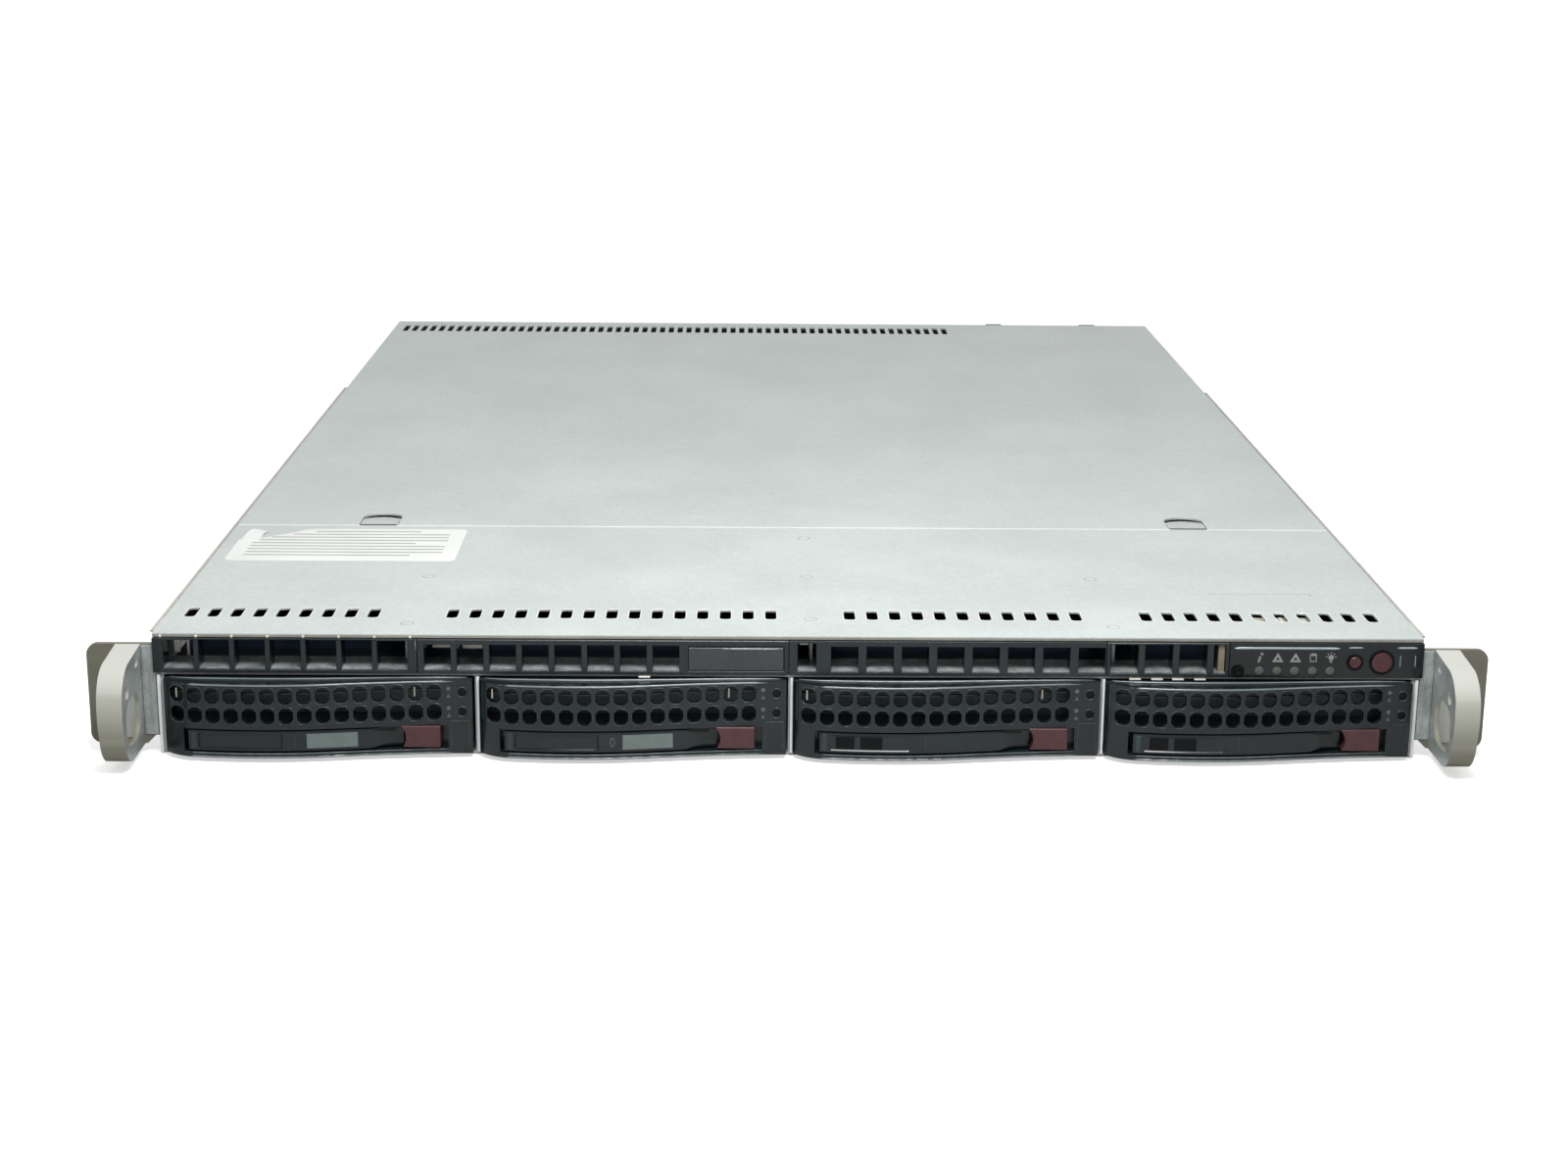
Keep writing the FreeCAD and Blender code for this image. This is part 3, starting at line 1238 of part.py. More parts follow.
def make_memory():
    """Eight memory modules in their sockets, in two banks behind the heatsinks."""
    solids = []
    for bank in range(2):
        for slot in range(4):
            left = f"{BOARD_LEFT} + 6 + {bank} * (memory_length + 14)"
            middle = f"{BOARD_FRONT} + heatsink_size + 66 + {slot} * memory_pitch"
            name = f"memory_{bank}_{slot}"
            card = box(name + "_card", (left, f"{left} + memory_length"),
                       (f"{middle} - memory_sheet / 2", f"{middle} + memory_sheet / 2"),
                       (f"{BOARD_TOP} + 1", f"{BOARD_TOP} + 1 + memory_height"))
            socket = box(name + "_socket", (f"{left} - 4", f"{left} + memory_length + 4"),
                         (f"{middle} - memory_socket_width / 2", f"{middle} + memory_socket_width / 2"),
                         (BOARD_TOP, f"{BOARD_TOP} + memory_socket_height"))
            solids.append(join(name, [card, socket]))
    return node(group("memory_modules", solids))


def make_shroud():
    """Bent plastic duct that leads the fans' air over the heatsinks."""
    left, right = f"{BOARD_LEFT} + 16", f"{BOARD_LEFT} + 262"
    start = f"{BOARD_FRONT} + 6"
    end = f"{start} + shroud_length"
    top = f"{BOARD_TOP} + socket_height + heatsink_height + 1.5"
    roof = box("shroud_roof", (left, right), (start, end), (f"{top} - shroud_sheet", top))
    sides = [
        box("shroud_left_side", (left, f"{left} + shroud_sheet"), (start, end), (BOARD_TOP, top)),
        box("shroud_right_side", (f"{right} - shroud_sheet", right), (start, end), (BOARD_TOP, top)),
    ]
    return node(join("air_shroud", [roof] + sides))


def plug_collar(name, left, width, height, face):
    """Raised collar of a screw-down port, with a threaded post on each side."""
    middle = f"{left} + {width} / 2"
    level = f"{PORT_BOTTOM} + {height} / 2"
    pieces = [box(name + "_collar", (f"{middle} - collar_width / 2", f"{middle} + collar_width / 2"),
                  (face, f"{face} + collar_length"),
                  (f"{level} - collar_height / 2", f"{level} + collar_height / 2"))]
    for side in (-1, 1):
        place = (f"{middle} + {side} * collar_post_offset", face, level)
        pieces.append(rod(f"{name}_post_{side + 1}", "y", "collar_post_radius", "collar_length - 1", place))
    return pieces


def make_ports():
    """Port housings that look out of the rear wall, with open mouths where a plug goes in."""
    solids = []
    for name, start, width, height, mouth_width, mouth_height in PORTS:
        left = f"-({CHASSIS_HALF}) + {start}"
        face = f"{REAR} + port_proud"
        shell = box(name + "_shell", (left, f"{left} + {width}"), (f"{face} - port_depth", face),
                    (PORT_BOTTOM, f"{PORT_BOTTOM} + {height}"))
        if not mouth_width:
            solids.append(join(name, [shell] + plug_collar(name, left, width, height, face)))
            continue
        mouth_left = f"{left} + ({width} - {mouth_width}) / 2"
        rows = 2 if name == "usb_port" else 1
        mouths = []
        for level in range(rows):
            low = f"{PORT_BOTTOM} + ({height} - {rows} * {mouth_height}) * {level + 1} / {rows + 1}"
            low += f" + {level} * {mouth_height}"
            mouths.append(box(f"{name}_mouth_{level}", (mouth_left, f"{mouth_left} + {mouth_width}"),
                              (f"{face} - port_depth + socket_back", f"{face} + 1"),
                              (low, f"{low} + {mouth_height}")))
        solids.append(cut(name, shell, mouths))
    return node(group("rear_ports", solids))


# Power modules: two cases that slide out to the rear, each with fan, inlet, strap and latch

MODULE_FACE = f"({REAR} + module_proud)"
MODULE_LOW = "(chassis_sheet + module_gap)"
MODULE_HIGH = f"({WALL_TOP} - 3 * module_gap)"
STRAP_X = f"({MODULE_LEFT} + module_width / 2)"
MODULE_FAN_X = f"({MODULE_LEFT} + module_fan_inset)"
MODULE_FAN_Z = f"(({MODULE_LOW} + {MODULE_HIGH}) / 2)"
INLET_RIGHT = f"({MODULE_LEFT} + module_width - inlet_inset)"


def make_module_case():
    block = box("module_block", (MODULE_LEFT, f"{MODULE_LEFT} + module_width"),
                (f"{MODULE_FACE} - module_length", MODULE_FACE), (MODULE_LOW, MODULE_HIGH))
    inlet = box("inlet_mouth", (f"{INLET_RIGHT} - inlet_width", INLET_RIGHT),
                (f"{MODULE_FACE} - inlet_depth", f"{MODULE_FACE} + 1"),
                ("inlet_bottom", "inlet_bottom + inlet_height"))
    tunnel = rod("module_tunnel", "y", "module_fan_radius", "module_fan_depth + 1",
                 (MODULE_FAN_X, f"{MODULE_FACE} - module_fan_depth", MODULE_FAN_Z))
    bearing = rod("module_bearing", "y", "shaft_radius + shaft_gap", "module_fan_depth + 6",
                  (MODULE_FAN_X, f"{MODULE_FACE} - module_fan_depth - 5", MODULE_FAN_Z))
    return node(cut("power_module_case_1", block, [inlet, tunnel, bearing]))


def make_module_rotor():
    floor = f"{MODULE_FACE} - module_fan_depth"
    hub = rod("module_hub", "y", "module_hub_radius", "module_fan_depth - 5",
              (MODULE_FAN_X, f"{floor} + shaft_end_gap", MODULE_FAN_Z))
    shaft = rod("module_shaft", "y", "shaft_radius", "5", (MODULE_FAN_X, f"{floor} - 4", MODULE_FAN_Z))
    wings = blades("module_blade", MODULE_FAN_X, MODULE_FAN_Z, f"{floor} + 2", "module_hub_radius",
                   "(module_fan_radius - fan_blade_gap - 0.4)", "module_blade_length")
    return node(join("power_module_rotor_1", [hub, shaft] + wings))


def make_module_strap():
    """Upright pull strap bent from one band."""
    body = new_body("power_module_strap_1")
    side = sketch(body, "strap_side", "YZ_Plane", STRAP_X)
    crest = f"{MODULE_FACE} + strap_reach"
    bend = f"({crest} - strap_bend)"
    outer, inner = "strap_bend * cos(45)", "(strap_bend - strap_sheet) * cos(45)"
    low, high = "strap_bottom + strap_bend", "strap_top - strap_bend"
    outline(side, [
        (MODULE_FACE, "strap_bottom"),
        (bend, "strap_bottom"),
        (crest, low),
        (crest, high),
        (bend, "strap_top"),
        (MODULE_FACE, "strap_top"),
        (MODULE_FACE, "strap_top - strap_sheet"),
        (bend, "strap_top - strap_sheet"),
        (f"{crest} - strap_sheet", high),
        (f"{crest} - strap_sheet", low),
        (bend, "strap_bottom + strap_sheet"),
        (MODULE_FACE, "strap_bottom + strap_sheet"),
    ], {
        1: (f"{bend} + {outer}", f"{low} - {outer}"),
        3: (f"{bend} + {outer}", f"{high} + {outer}"),
        7: (f"{bend} + {inner}", f"{high} + {inner}"),
        9: (f"{bend} + {inner}", f"{low} - {inner}"),
    })
    pad(body, side, "strap_width", both_ways=True)
    return node(body)


def make_module_latch():
    """Thumb latch beside the strap, pressed towards it."""
    left = f"{STRAP_X} + strap_width / 2 + module_latch_travel + 1.2"
    low = "inlet_bottom + inlet_height + 1"
    tab = box("latch_thumb", (f"{left}", f"{left} + module_latch_width"),
              (f"{MODULE_FACE} + module_gap", f"{MODULE_FACE} + module_gap + module_latch_length"),
              (low, f"{low} + module_latch_height"))
    foot = box("latch_foot", (f"{left}", f"{left} + 3 * module_latch_width"),
               (f"{MODULE_FACE} + module_gap", f"{MODULE_FACE} + module_gap + 1.6"),
               (low, f"{low} + module_latch_height"))
    return node(join("power_module_latch_1", [tab, foot]))


def make_power_modules():
    for original in (make_module_case(), make_module_rotor(), make_module_strap(), make_module_latch()):
        node(copy_of(original.Name[:-1] + "2", original, "module_pitch"))


def make_power_board():
    """Distribution board that the modules plug into."""
    rear = f"{MODULE_FACE} - module_length - 2 * module_gap - 6"
    board = box("power_circuit", (f"{MODULE_LEFT} + 2", f"{MODULE_LEFT} + module_pitch + module_width - 2"),
                (f"{rear} - board_sheet", rear), ("chassis_sheet", f"{MODULE_HIGH} - 4"))
    plugs = []
    for module in range(2):
        middle = f"{MODULE_LEFT} + module_width / 2 + {module} * module_pitch"
        plugs.append(box(f"power_plug_{module}", (f"{middle} - 18", f"{middle} + 18"),
                         (rear, f"{rear} + 6"), ("12", "22")))
    return node(join("power_board", [board] + plugs))


def make_everything():
    make_chassis()
    node(make_rear_frame())
    make_front_cover()
    make_rivets()
    make_rear_cover()
    make_cover_latch("left_cover_latch", -1)
    make_cover_latch("right_cover_latch", 1)
    make_drive_cage()
    make_bays()
    make_vent_bezels()
    make_control_panel()
    make_lenses()
    for name, inset, height, radius in PRESS_BUTTONS:
        make_press_button(name, inset, height, radius)
    make_control_board()
    for name, side in (("left", -1), ("right", 1)):
        make_handle(f"{name}_handle", side)
        make_inner_rail(f"{name}_inner_rail", side)
    make_side_screws()
    make_backplane()
    make_fan()
    make_motherboard()
    make_standoffs()
    make_heatsinks()
    make_memory()
    make_shroud()
    make_ports()
    make_power_modules()
    make_power_board()


def check_and_export():
    doc.recompute()
    for thing in doc.Objects:
        if "Invalid" in thing.State or "Error" in thing.State:
            raise RuntimeError(f"{thing.Name} did not build: {thing.State}")
    for piece in nodes:
        if piece.Shape.isNull() or not piece.Shape.isValid():
            raise RuntimeError(f"{piece.Label} has no sound shape")
    for piece in nodes:
        piece.Shape.exportStep(f"parts/{piece.Label}.step")
        print(piece.Label, len(piece.Shape.Solids), round(piece.Shape.Volume))


make_everything()
check_and_export()
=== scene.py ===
import json
import math

import bmesh
import bpy
from mathutils import Matrix, Vector


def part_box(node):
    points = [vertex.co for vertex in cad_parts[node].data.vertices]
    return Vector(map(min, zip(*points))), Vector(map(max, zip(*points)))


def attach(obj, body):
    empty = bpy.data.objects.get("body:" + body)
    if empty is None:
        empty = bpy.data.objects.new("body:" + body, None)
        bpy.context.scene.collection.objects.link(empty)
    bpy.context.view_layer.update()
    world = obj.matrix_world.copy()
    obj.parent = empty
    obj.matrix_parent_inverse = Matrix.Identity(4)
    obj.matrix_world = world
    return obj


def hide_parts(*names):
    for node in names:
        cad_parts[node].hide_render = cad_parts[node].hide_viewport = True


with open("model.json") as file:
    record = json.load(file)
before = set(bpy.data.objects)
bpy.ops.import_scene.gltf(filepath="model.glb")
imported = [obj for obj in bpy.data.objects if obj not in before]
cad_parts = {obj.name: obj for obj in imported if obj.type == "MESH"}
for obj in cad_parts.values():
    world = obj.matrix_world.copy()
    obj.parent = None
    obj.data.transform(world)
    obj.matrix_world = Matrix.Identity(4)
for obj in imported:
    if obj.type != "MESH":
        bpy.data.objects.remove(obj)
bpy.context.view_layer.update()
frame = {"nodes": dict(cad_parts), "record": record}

nodes = frame["nodes"]
MM = 0.001

# View: the camera stands where the photograph was taken, about 0.85 m in front of the server and
# 0.25 m above its cover, and looks slightly down on it.

camera_place = Vector((-15.56, -1174.24, 292.28)) * MM
camera_lens, camera_film = 59.186, 36.0
yaw, pitch, roll = 0.015597, 0.266881, 0.009153

ahead = Vector((math.sin(yaw) * math.cos(pitch), math.cos(yaw) * math.cos(pitch), -math.sin(pitch)))
level = Vector((math.cos(yaw), -math.sin(yaw), 0))
above = level.cross(ahead)
image_right = math.cos(roll) * level + math.sin(roll) * above
image_up = math.cos(roll) * above - math.sin(roll) * level
camera_data = bpy.data.cameras.new("camera")
camera_data.lens = camera_lens
camera_data.sensor_width = camera_film
camera_data.clip_start, camera_data.clip_end = 0.01, 100
camera = bpy.data.objects.new("camera", camera_data)
turn = Matrix((image_right, image_up, -ahead)).transposed()
camera.matrix_world = Matrix.Translation(camera_place) @ turn.to_4x4()
bpy.context.scene.collection.objects.link(camera)
bpy.context.scene.camera = camera
bpy.context.scene.view_settings.view_transform = "Standard"

# Studio: a white table, a sky that is white for the camera and graded for gloss, a broad lamp
# overhead and a small softbox near the front, which draws bright lines on the rounded black edges.

floor_drop, floor_reach = 0.3, 30.0
table_shade, table_white, table_rough, table_shine, table_glow = "#C6C6C4", "#FAFAF9", 0.9, 0.1, 0.55
fill_strength = 0.34
sky_low, sky_high, sky_dim, sky_bright = 0.05, 0.40, 0.30, 0.95
sun_strength, sun_spread = 0.41, 70.0
sun_place, sun_aim = Vector((0, 0, 3)), Vector((0.10, 0.30, -1.0))
box_place, box_aim = Vector((0.03, -0.62, 0.58)), Vector((0.0, -0.24, 0.04))
box_size, box_power, box_spread = (0.34, 0.20), 1.78, 110


def linear(code):
    """An sRGB hex colour as the linear colour that a shader socket takes."""
    parts = [int(code[place:place + 2], 16) / 255 for place in (1, 3, 5)]
    return [part / 12.92 if part <= 0.04045 else ((part + 0.055) / 1.055) ** 2.4 for part in parts] + [1.0]


def add(tree, kind, *inputs, **settings):
    """Add a node; an input is a socket's name or number and a value, an output or a node's first output."""
    made = tree.nodes.new(kind)
    for key, value in settings.items():
        setattr(made, key, value)
    for socket, value in inputs:
        if isinstance(value, bpy.types.Node):
            value = value.outputs[0]
        if isinstance(value, bpy.types.NodeSocket):
            tree.links.new(value, made.inputs[socket])
        else:
            made.inputs[socket].default_value = value
    return made


def blank(name):
    """A new material with an empty tree."""
    material = bpy.data.materials.new(name)
    material.use_nodes = True
    material.node_tree.nodes.clear()
    return material, material.node_tree


world = bpy.data.worlds.new("studio")
bpy.context.scene.world = world
world.use_nodes = True
sky = world.node_tree
sky.nodes.clear()
rays = add(sky, "ShaderNodeLightPath")
through = add(sky, "ShaderNodeMath", (0, rays.outputs["Is Glossy Ray"]),
              (1, rays.outputs["Is Transmission Ray"]), operation="MAXIMUM")
heading = add(sky, "ShaderNodeTexCoord")
height = add(sky, "ShaderNodeSeparateXYZ", (0, heading.outputs["Generated"]))
horizon = add(sky, "ShaderNodeMapRange", ("Value", height.outputs["Z"]), ("From Min", sky_low),
              ("From Max", sky_high), ("To Min", sky_dim), ("To Max", sky_bright))
gloss_sky = add(sky, "ShaderNodeMix", (0, through), (6, [fill_strength] * 3 + [1]), (7, horizon),
                data_type="RGBA")
seen_sky = add(sky, "ShaderNodeMix", (0, rays.outputs["Is Camera Ray"]), (6, gloss_sky.outputs[2]),
               (7, [1, 1, 1, 1]), data_type="RGBA")
background = add(sky, "ShaderNodeBackground", ("Color", seen_sky.outputs[2]))
add(sky, "ShaderNodeOutputWorld", (0, background))

table_paint, tree = blank("white_table_paint")
seen = add(tree, "ShaderNodeLightPath").outputs["Is Camera Ray"]
colour = add(tree, "ShaderNodeMix", (0, seen), (6, linear(table_shade)), (7, linear(table_white)),
             data_type="RGBA")
glow = add(tree, "ShaderNodeMath", (0, seen), (1, table_glow), operation="MULTIPLY")
paint = add(tree, "ShaderNodeBsdfPrincipled", ("Base Color", colour.outputs[2]), ("Roughness", table_rough),
            ("Specular IOR Level", table_shine), ("Emission Color", [1, 1, 1, 1]),
            ("Emission Strength", glow))
add(tree, "ShaderNodeOutputMaterial", (0, paint))
floor_mesh = bpy.data.meshes.new("floor")
quarters = ((-1, -1), (1, -1), (1, 1), (-1, 1))
corners = [(x * floor_reach, y * floor_reach, -floor_drop * MM) for x, y in quarters]
floor_mesh.from_pydata(corners, [], [(0, 1, 2, 3)])
floor_mesh.materials.append(table_paint)
floor = bpy.data.objects.new("floor", floor_mesh)
bpy.context.scene.collection.objects.link(floor)


def lamp(name, kind, strength, place, aim):
    data = bpy.data.lights.new(name, kind)
    data.energy = strength
    thing = bpy.data.objects.new(name, data)
    facing = aim.to_track_quat("-Z", "Y").to_matrix().to_4x4()
    thing.matrix_world = Matrix.Translation(place) @ facing
    bpy.context.scene.collection.objects.link(thing)
    return data


sun = lamp("overhead", "SUN", sun_strength, sun_place, sun_aim)
sun.angle = math.radians(sun_spread)
softbox = lamp("softbox", "AREA", box_power, box_place, box_aim - box_place)
softbox.shape = "RECTANGLE"
softbox.size, softbox.size_y = box_size
softbox.spread = math.radians(box_spread)

# Chassis tray and module guides: steel sheet with a hot-dip zinc coat, folded and left bare.
# Zinc gives a cool, satin grey with faint flakes a few millimetres wide and soft rolling marks.

zinc_colour, zinc_shade = "#C8CCCA", "#B0B6B4"
zinc_rough, zinc_flake, zinc_patch, zinc_contrast, zinc_bare = 0.42, 3.0, 42.0, 0.7, 0.45
flake_share, grain_share, grain_finer, grain_bump = 0.30, 0.9, 2.6, 0.25


def sheet_metal(name, light, dark, roughness, flake, patch, contrast=0.5, relief=0.02, bare=1.0):
    """Bare or plated sheet: flakes and soft patches, both in millimetres, in colour and gloss."""
    material, tree = blank(name)
    place = add(tree, "ShaderNodeTexCoord").outputs["Object"]
    flakes = add(tree, "ShaderNodeTexVoronoi", ("Vector", place), ("Scale", 1 / (flake * MM)))
    grain = add(tree, "ShaderNodeTexNoise", ("Vector", place), ("Scale", grain_finer / (flake * MM)),
                ("Detail", 3.0))
    patches = add(tree, "ShaderNodeTexNoise", ("Vector", place), ("Scale", 1 / (patch * MM)), ("Detail", 4.0),
                  ("Roughness", 0.6))
    flake_value = add(tree, "ShaderNodeSeparateColor", (0, flakes.outputs["Color"]))
    mixed = add(tree, "ShaderNodeMath", (0, flake_value), (1, flake_share * contrast), (2, patches),
                operation="MULTIPLY_ADD")
    mixed = add(tree, "ShaderNodeMath", (0, grain), (1, grain_share * contrast), (2, mixed),
                operation="MULTIPLY_ADD")
    tone = add(tree, "ShaderNodeMapRange", ("Value", mixed), ("From Min", 0.35 + 0.5 * contrast),
               ("From Max", 0.65 + 0.7 * contrast))
    colour = add(tree, "ShaderNodeMix", (0, tone), (6, linear(dark)), (7, linear(light)), data_type="RGBA")
    gloss = add(tree, "ShaderNodeMapRange", ("Value", patches), ("From Min", 0.3), ("From Max", 0.7),
                ("To Min", roughness - 0.06), ("To Max", roughness + 0.08))
    bump = add(tree, "ShaderNodeBump", ("Strength", grain_bump), ("Distance", relief * MM), ("Height", grain))
    metal = add(tree, "ShaderNodeBsdfPrincipled", ("Base Color", colour.outputs[2]), ("Metallic", bare),
                ("Roughness", gloss), ("Normal", bump))
    add(tree, "ShaderNodeOutputMaterial", (0, metal))
    return material


def coat(material, *names):
    """Give CAD nodes that keep their own shape a finish."""
    for name in names:
        for place in nodes[name].material_slots:
            place.material = material


home = {name: body for body, members in frame["record"]["behaviour"]["bodies"].items() for name in members}
finish_of = {part["node"]: part["material_slot"] for part in frame["record"]["subparts"]}
zinc_steel = sheet_metal("hot_dip_zinc_steel", zinc_colour, zinc_shade, zinc_rough, zinc_flake, zinc_patch,
                         zinc_contrast, bare=zinc_bare)
coat(zinc_steel, *[name for name in nodes if finish_of[name] == "zinc_sheet"])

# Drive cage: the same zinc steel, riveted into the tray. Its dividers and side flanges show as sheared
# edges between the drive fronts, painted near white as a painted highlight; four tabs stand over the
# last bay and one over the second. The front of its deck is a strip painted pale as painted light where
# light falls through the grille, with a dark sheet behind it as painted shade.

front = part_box("drive_cage")[0].y / MM
cage_skin = front - 0.02
tab_places, tab_wide, tab_deep = (-50.1, 119.0, 126.6, 133.8, 141.4), 4.0, 2.4
tab_low, tab_top = 28.35, 28.9
divider_places, divider_edge, divider_deep = (-107.4, 0.6, 108.4), 0.95, 1.4
divider_low, divider_top, cage_round = 1.1, 28.2, 0.15
flange_inner, flange_step, flange_outer, flange_top = 214.9, 216.3, 217.45, 28.4
rim_deep, rim_low, flange_deep, flange_low, flange_drop = 0.9, 0.1, 0.4, 0.6, 0.5
strip_left, strip_right, strip_front, strip_top, strip_thick = -217.0, 150.8, -326.0, 30.95, 0.28
shade_sheet_left, shade_sheet_right, shade_sheet_start, shade_sheet_end, shade_sheet_low, shade_sheet_top = -215.0, 150.0, -311.6, -175.0, 29.11, 29.31


def settle(thing, body):
    """Tell the frame which body a new piece rides on."""
    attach(thing, body)
    return thing


def shown(name, mesh, material):
    if material:
        mesh.materials.clear()
        mesh.materials.append(material)
    thing = bpy.data.objects.new(name, mesh)
    bpy.context.scene.collection.objects.link(thing)
    return thing


def smooth(mesh, angle=32):
    mesh.shade_smooth()
    mesh.set_sharp_from_angle(angle=math.radians(angle))


def round_edges(thing, width, segments=2):
    rounding = thing.modifiers.new("Rounding", "BEVEL")
    rounding.width = width * MM
    rounding.segments = segments
    rounding.limit_method = "ANGLE"
    rounding.angle_limit = math.radians(38)
    rounding.harden_normals = True
    return thing


def dressed(name, material, width, segments=2):
    """A copy of a CAD node with its triangles merged and its edges rounded, which stands for it."""
    form = bmesh.new()
    form.from_mesh(nodes[name].data)
    bmesh.ops.remove_doubles(form, verts=form.verts, dist=0.002 * MM)
    bmesh.ops.dissolve_degenerate(form, dist=0.002 * MM, edges=form.edges)
    bmesh.ops.join_triangles(form, faces=form.faces, angle_face_threshold=math.radians(0.6),
                             angle_shape_threshold=math.radians(180))
    mesh = bpy.data.meshes.new(name + "_sheet")
    form.to_mesh(mesh)
    form.free()
    smooth(mesh)
    thing = shown(name + "_finished", mesh, material)
    round_edges(thing, width, segments)
    flats = thing.modifiers.new("Flats", "WEIGHTED_NORMAL")
    flats.keep_sharp = True
    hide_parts(name)
    return settle(thing, home[name])


def block(form, low, high):
    """A box between two corners in millimetres."""
    low, high = Vector(low) * MM, Vector(high) * MM
    size = high - low
    place = Matrix.Translation((low + high) / 2) @ Matrix.Diagonal((size.x, size.y, size.z, 1))
    return bmesh.ops.create_cube(form, size=1, matrix=place)["verts"]


def finished(name, form, material, body, width=0.0, segments=2, angle=32):
    """Turn a built form into a piece, with outward faces and rounded edges."""
    bmesh.ops.recalc_face_normals(form, faces=form.faces)
    mesh = bpy.data.meshes.new(name)
    form.to_mesh(mesh)
    form.free()
    smooth(mesh, angle)
    thing = shown(name, mesh, material)
    if width:
        round_edges(thing, width, segments)
    return settle(thing, body)


def built(name, boxes, material, body, width=0.0, segments=2):
    """A piece made of boxes, each between two corners in millimetres."""
    form = bmesh.new()
    for low, high in boxes:
        block(form, low, high)
    return finished(name, form, material, body, width, segments)


def side_box(side, near, far, low, high):
    """The corners of a box on the left (-1) or right (1), between two distances from the middle."""
    first, last = sorted((side * near, side * far))
    return (first, *low), (last, *high)


bright_tin = sheet_metal("bright_tinplate", "#F0EDE2", "#DAD8CE", 0.35, 2.0, 20.0, 0.5, bare=0.4)
tabs = [((middle - tab_wide / 2, cage_skin - tab_deep, tab_low), (middle + tab_wide / 2, cage_skin, tab_top))
        for middle in tab_places]
built("deck_tabs", tabs, bright_tin, "chassis", cage_round)
edges = [((middle - divider_edge / 2, front - divider_deep, divider_low),
          (middle + divider_edge / 2, cage_skin, divider_top)) for middle in divider_places]
edges += [side_box(side, flange_step, flange_outer, (front - rim_deep, rim_low), (cage_skin, flange_top))
          for side in (-1, 1)]
# Sheared edges of the dividers and flanges, painted near white as a painted highlight along them.
highlight_edge_zinc = sheet_metal("sheared_edge_painted_highlight", "#FAFCFC", "#E6EAEA", 0.5, 2.0, 20.0, 0.3, bare=0.1)
built("cage_edges", edges, highlight_edge_zinc, "chassis", cage_round)
flanges = [side_box(side, flange_inner, flange_step, (front - flange_deep, flange_low),
                    (cage_skin, flange_top - flange_drop)) for side in (-1, 1)]
built("cage_flanges", flanges, zinc_steel, "chassis", cage_round)

# Painted light: the deck strip is painted pale where light falls through the grille onto the near deck.
lit_deck_tin = sheet_metal("deck_sheet_painted_light", "#A4A9A8", "#666D6F", 0.5, 5.0, 6.0, 0.5, 0.05, bare=0.1)
strip = ((strip_left, strip_front, strip_top - strip_thick), (strip_right, shade_sheet_start, strip_top))
built("deck_strip", [strip], lit_deck_tin, "chassis")

# Drive carriers: black glass-filled ABS, moulded, with a bowed face full of eight-sided holes.
# The moulding gives a blue-black satin with a fine spark-eroded grain; each hole has a raised rim,
# painted a shade lighter as painted highlight, and light grey beads along the edges are painted highlights.

bays = range(1, 5)
front_line = -325.0
bow = (((0, -3.0), (4.5, -6.9), (12, -9.3)), ((12, -9.3), (36, -10.7), (62, -8.3)),
       ((62, -8.3), (83, -5.7), (105.6, -4.0)))
hole_first, hole_pitch, hole_columns, hole_rows = 5.3, 6.24, 15, (16.6, 23.6)
hole_width, hole_height, hole_fillet = 4.9, 5.5, 1.5
rim_wire, rim_wider, solid_strip = 0.17, 0.5, 20.1
lip_beads = ((1.0, 104.6, 27.45, 0.38, 0.12, 1.0), (2.0, 103.6, 28.00, 0.32, 0.05, 0.42),
             (0.8, 104.8, 1.85, 0.40, 0.10, 1.0), (0.8, 104.8, 3.15, 0.30, 0.05, 1.0))
face_lines = ((98.2, 98.6, 3.6, 13.4), (104.4, 104.8, 3.6, 13.4), (98.2, 104.8, 13.0, 13.4),
              (1.0, 1.5, 14.0, 27.0))
inner_rail = (3.0, 95.6, 23.4, 24.0, -3.2, 4.2)
pipe_across, sign_across = 102.2, 97.6
dot_rise, dot_radius, arrow_half, arrow_foot, arrow_tip, mark_proud, mark_deep = (
    1.3, 0.75, 0.7, -1.9, -0.5, 0.08, 0.1)
pipe_profile = [(0, -0.34), (0.9, -0.26), (1.5, -0.05), (1.5, 0.4)]
pipe_ring = [(1.55, 0.3), (1.55, -0.28), (1.75, -0.42), (1.95, -0.28), (1.95, 0.3)]
spring_columns, spring_left, spring_right, spring_deep = (0, hole_columns - 2), -0.9, -0.35, 0.6
spring_behind, spring_low, spring_high = 2.4, 21.6, 25.0


def moulded(name, colour, lift, roughness, grain=0.25, relief=0.03, mottle=6.0, shine=0.5):
    """Moulded plastic: one colour with faint mottling, and the fine grain of the mould's surface."""
    material, tree = blank(name)
    place = add(tree, "ShaderNodeTexCoord").outputs["Object"]
    mottling = add(tree, "ShaderNodeTexNoise", ("Vector", place), ("Scale", 1 / (mottle * MM)),
                   ("Detail", 3.0))
    skin = add(tree, "ShaderNodeTexNoise", ("Vector", place), ("Scale", 1 / (grain * MM)), ("Detail", 2.0))
    shade = add(tree, "ShaderNodeMapRange", ("Value", mottling), ("From Min", 0.3), ("From Max", 0.7))
    tint = add(tree, "ShaderNodeMix", (0, shade), (6, linear(colour)), (7, linear(lift)), data_type="RGBA")
    gloss = add(tree, "ShaderNodeMapRange", ("Value", mottling), ("From Min", 0.25), ("From Max", 0.75),
                ("To Min", roughness - 0.04), ("To Max", roughness + 0.06))
    bump = add(tree, "ShaderNodeBump", ("Strength", 0.3), ("Distance", relief * MM), ("Height", skin))
    plastic = add(tree, "ShaderNodeBsdfPrincipled", ("Base Color", tint.outputs[2]), ("Roughness", gloss),
                  ("IOR", 1.52), ("Specular IOR Level", shine), ("Normal", bump))
    add(tree, "ShaderNodeOutputMaterial", (0, plastic))
    return material


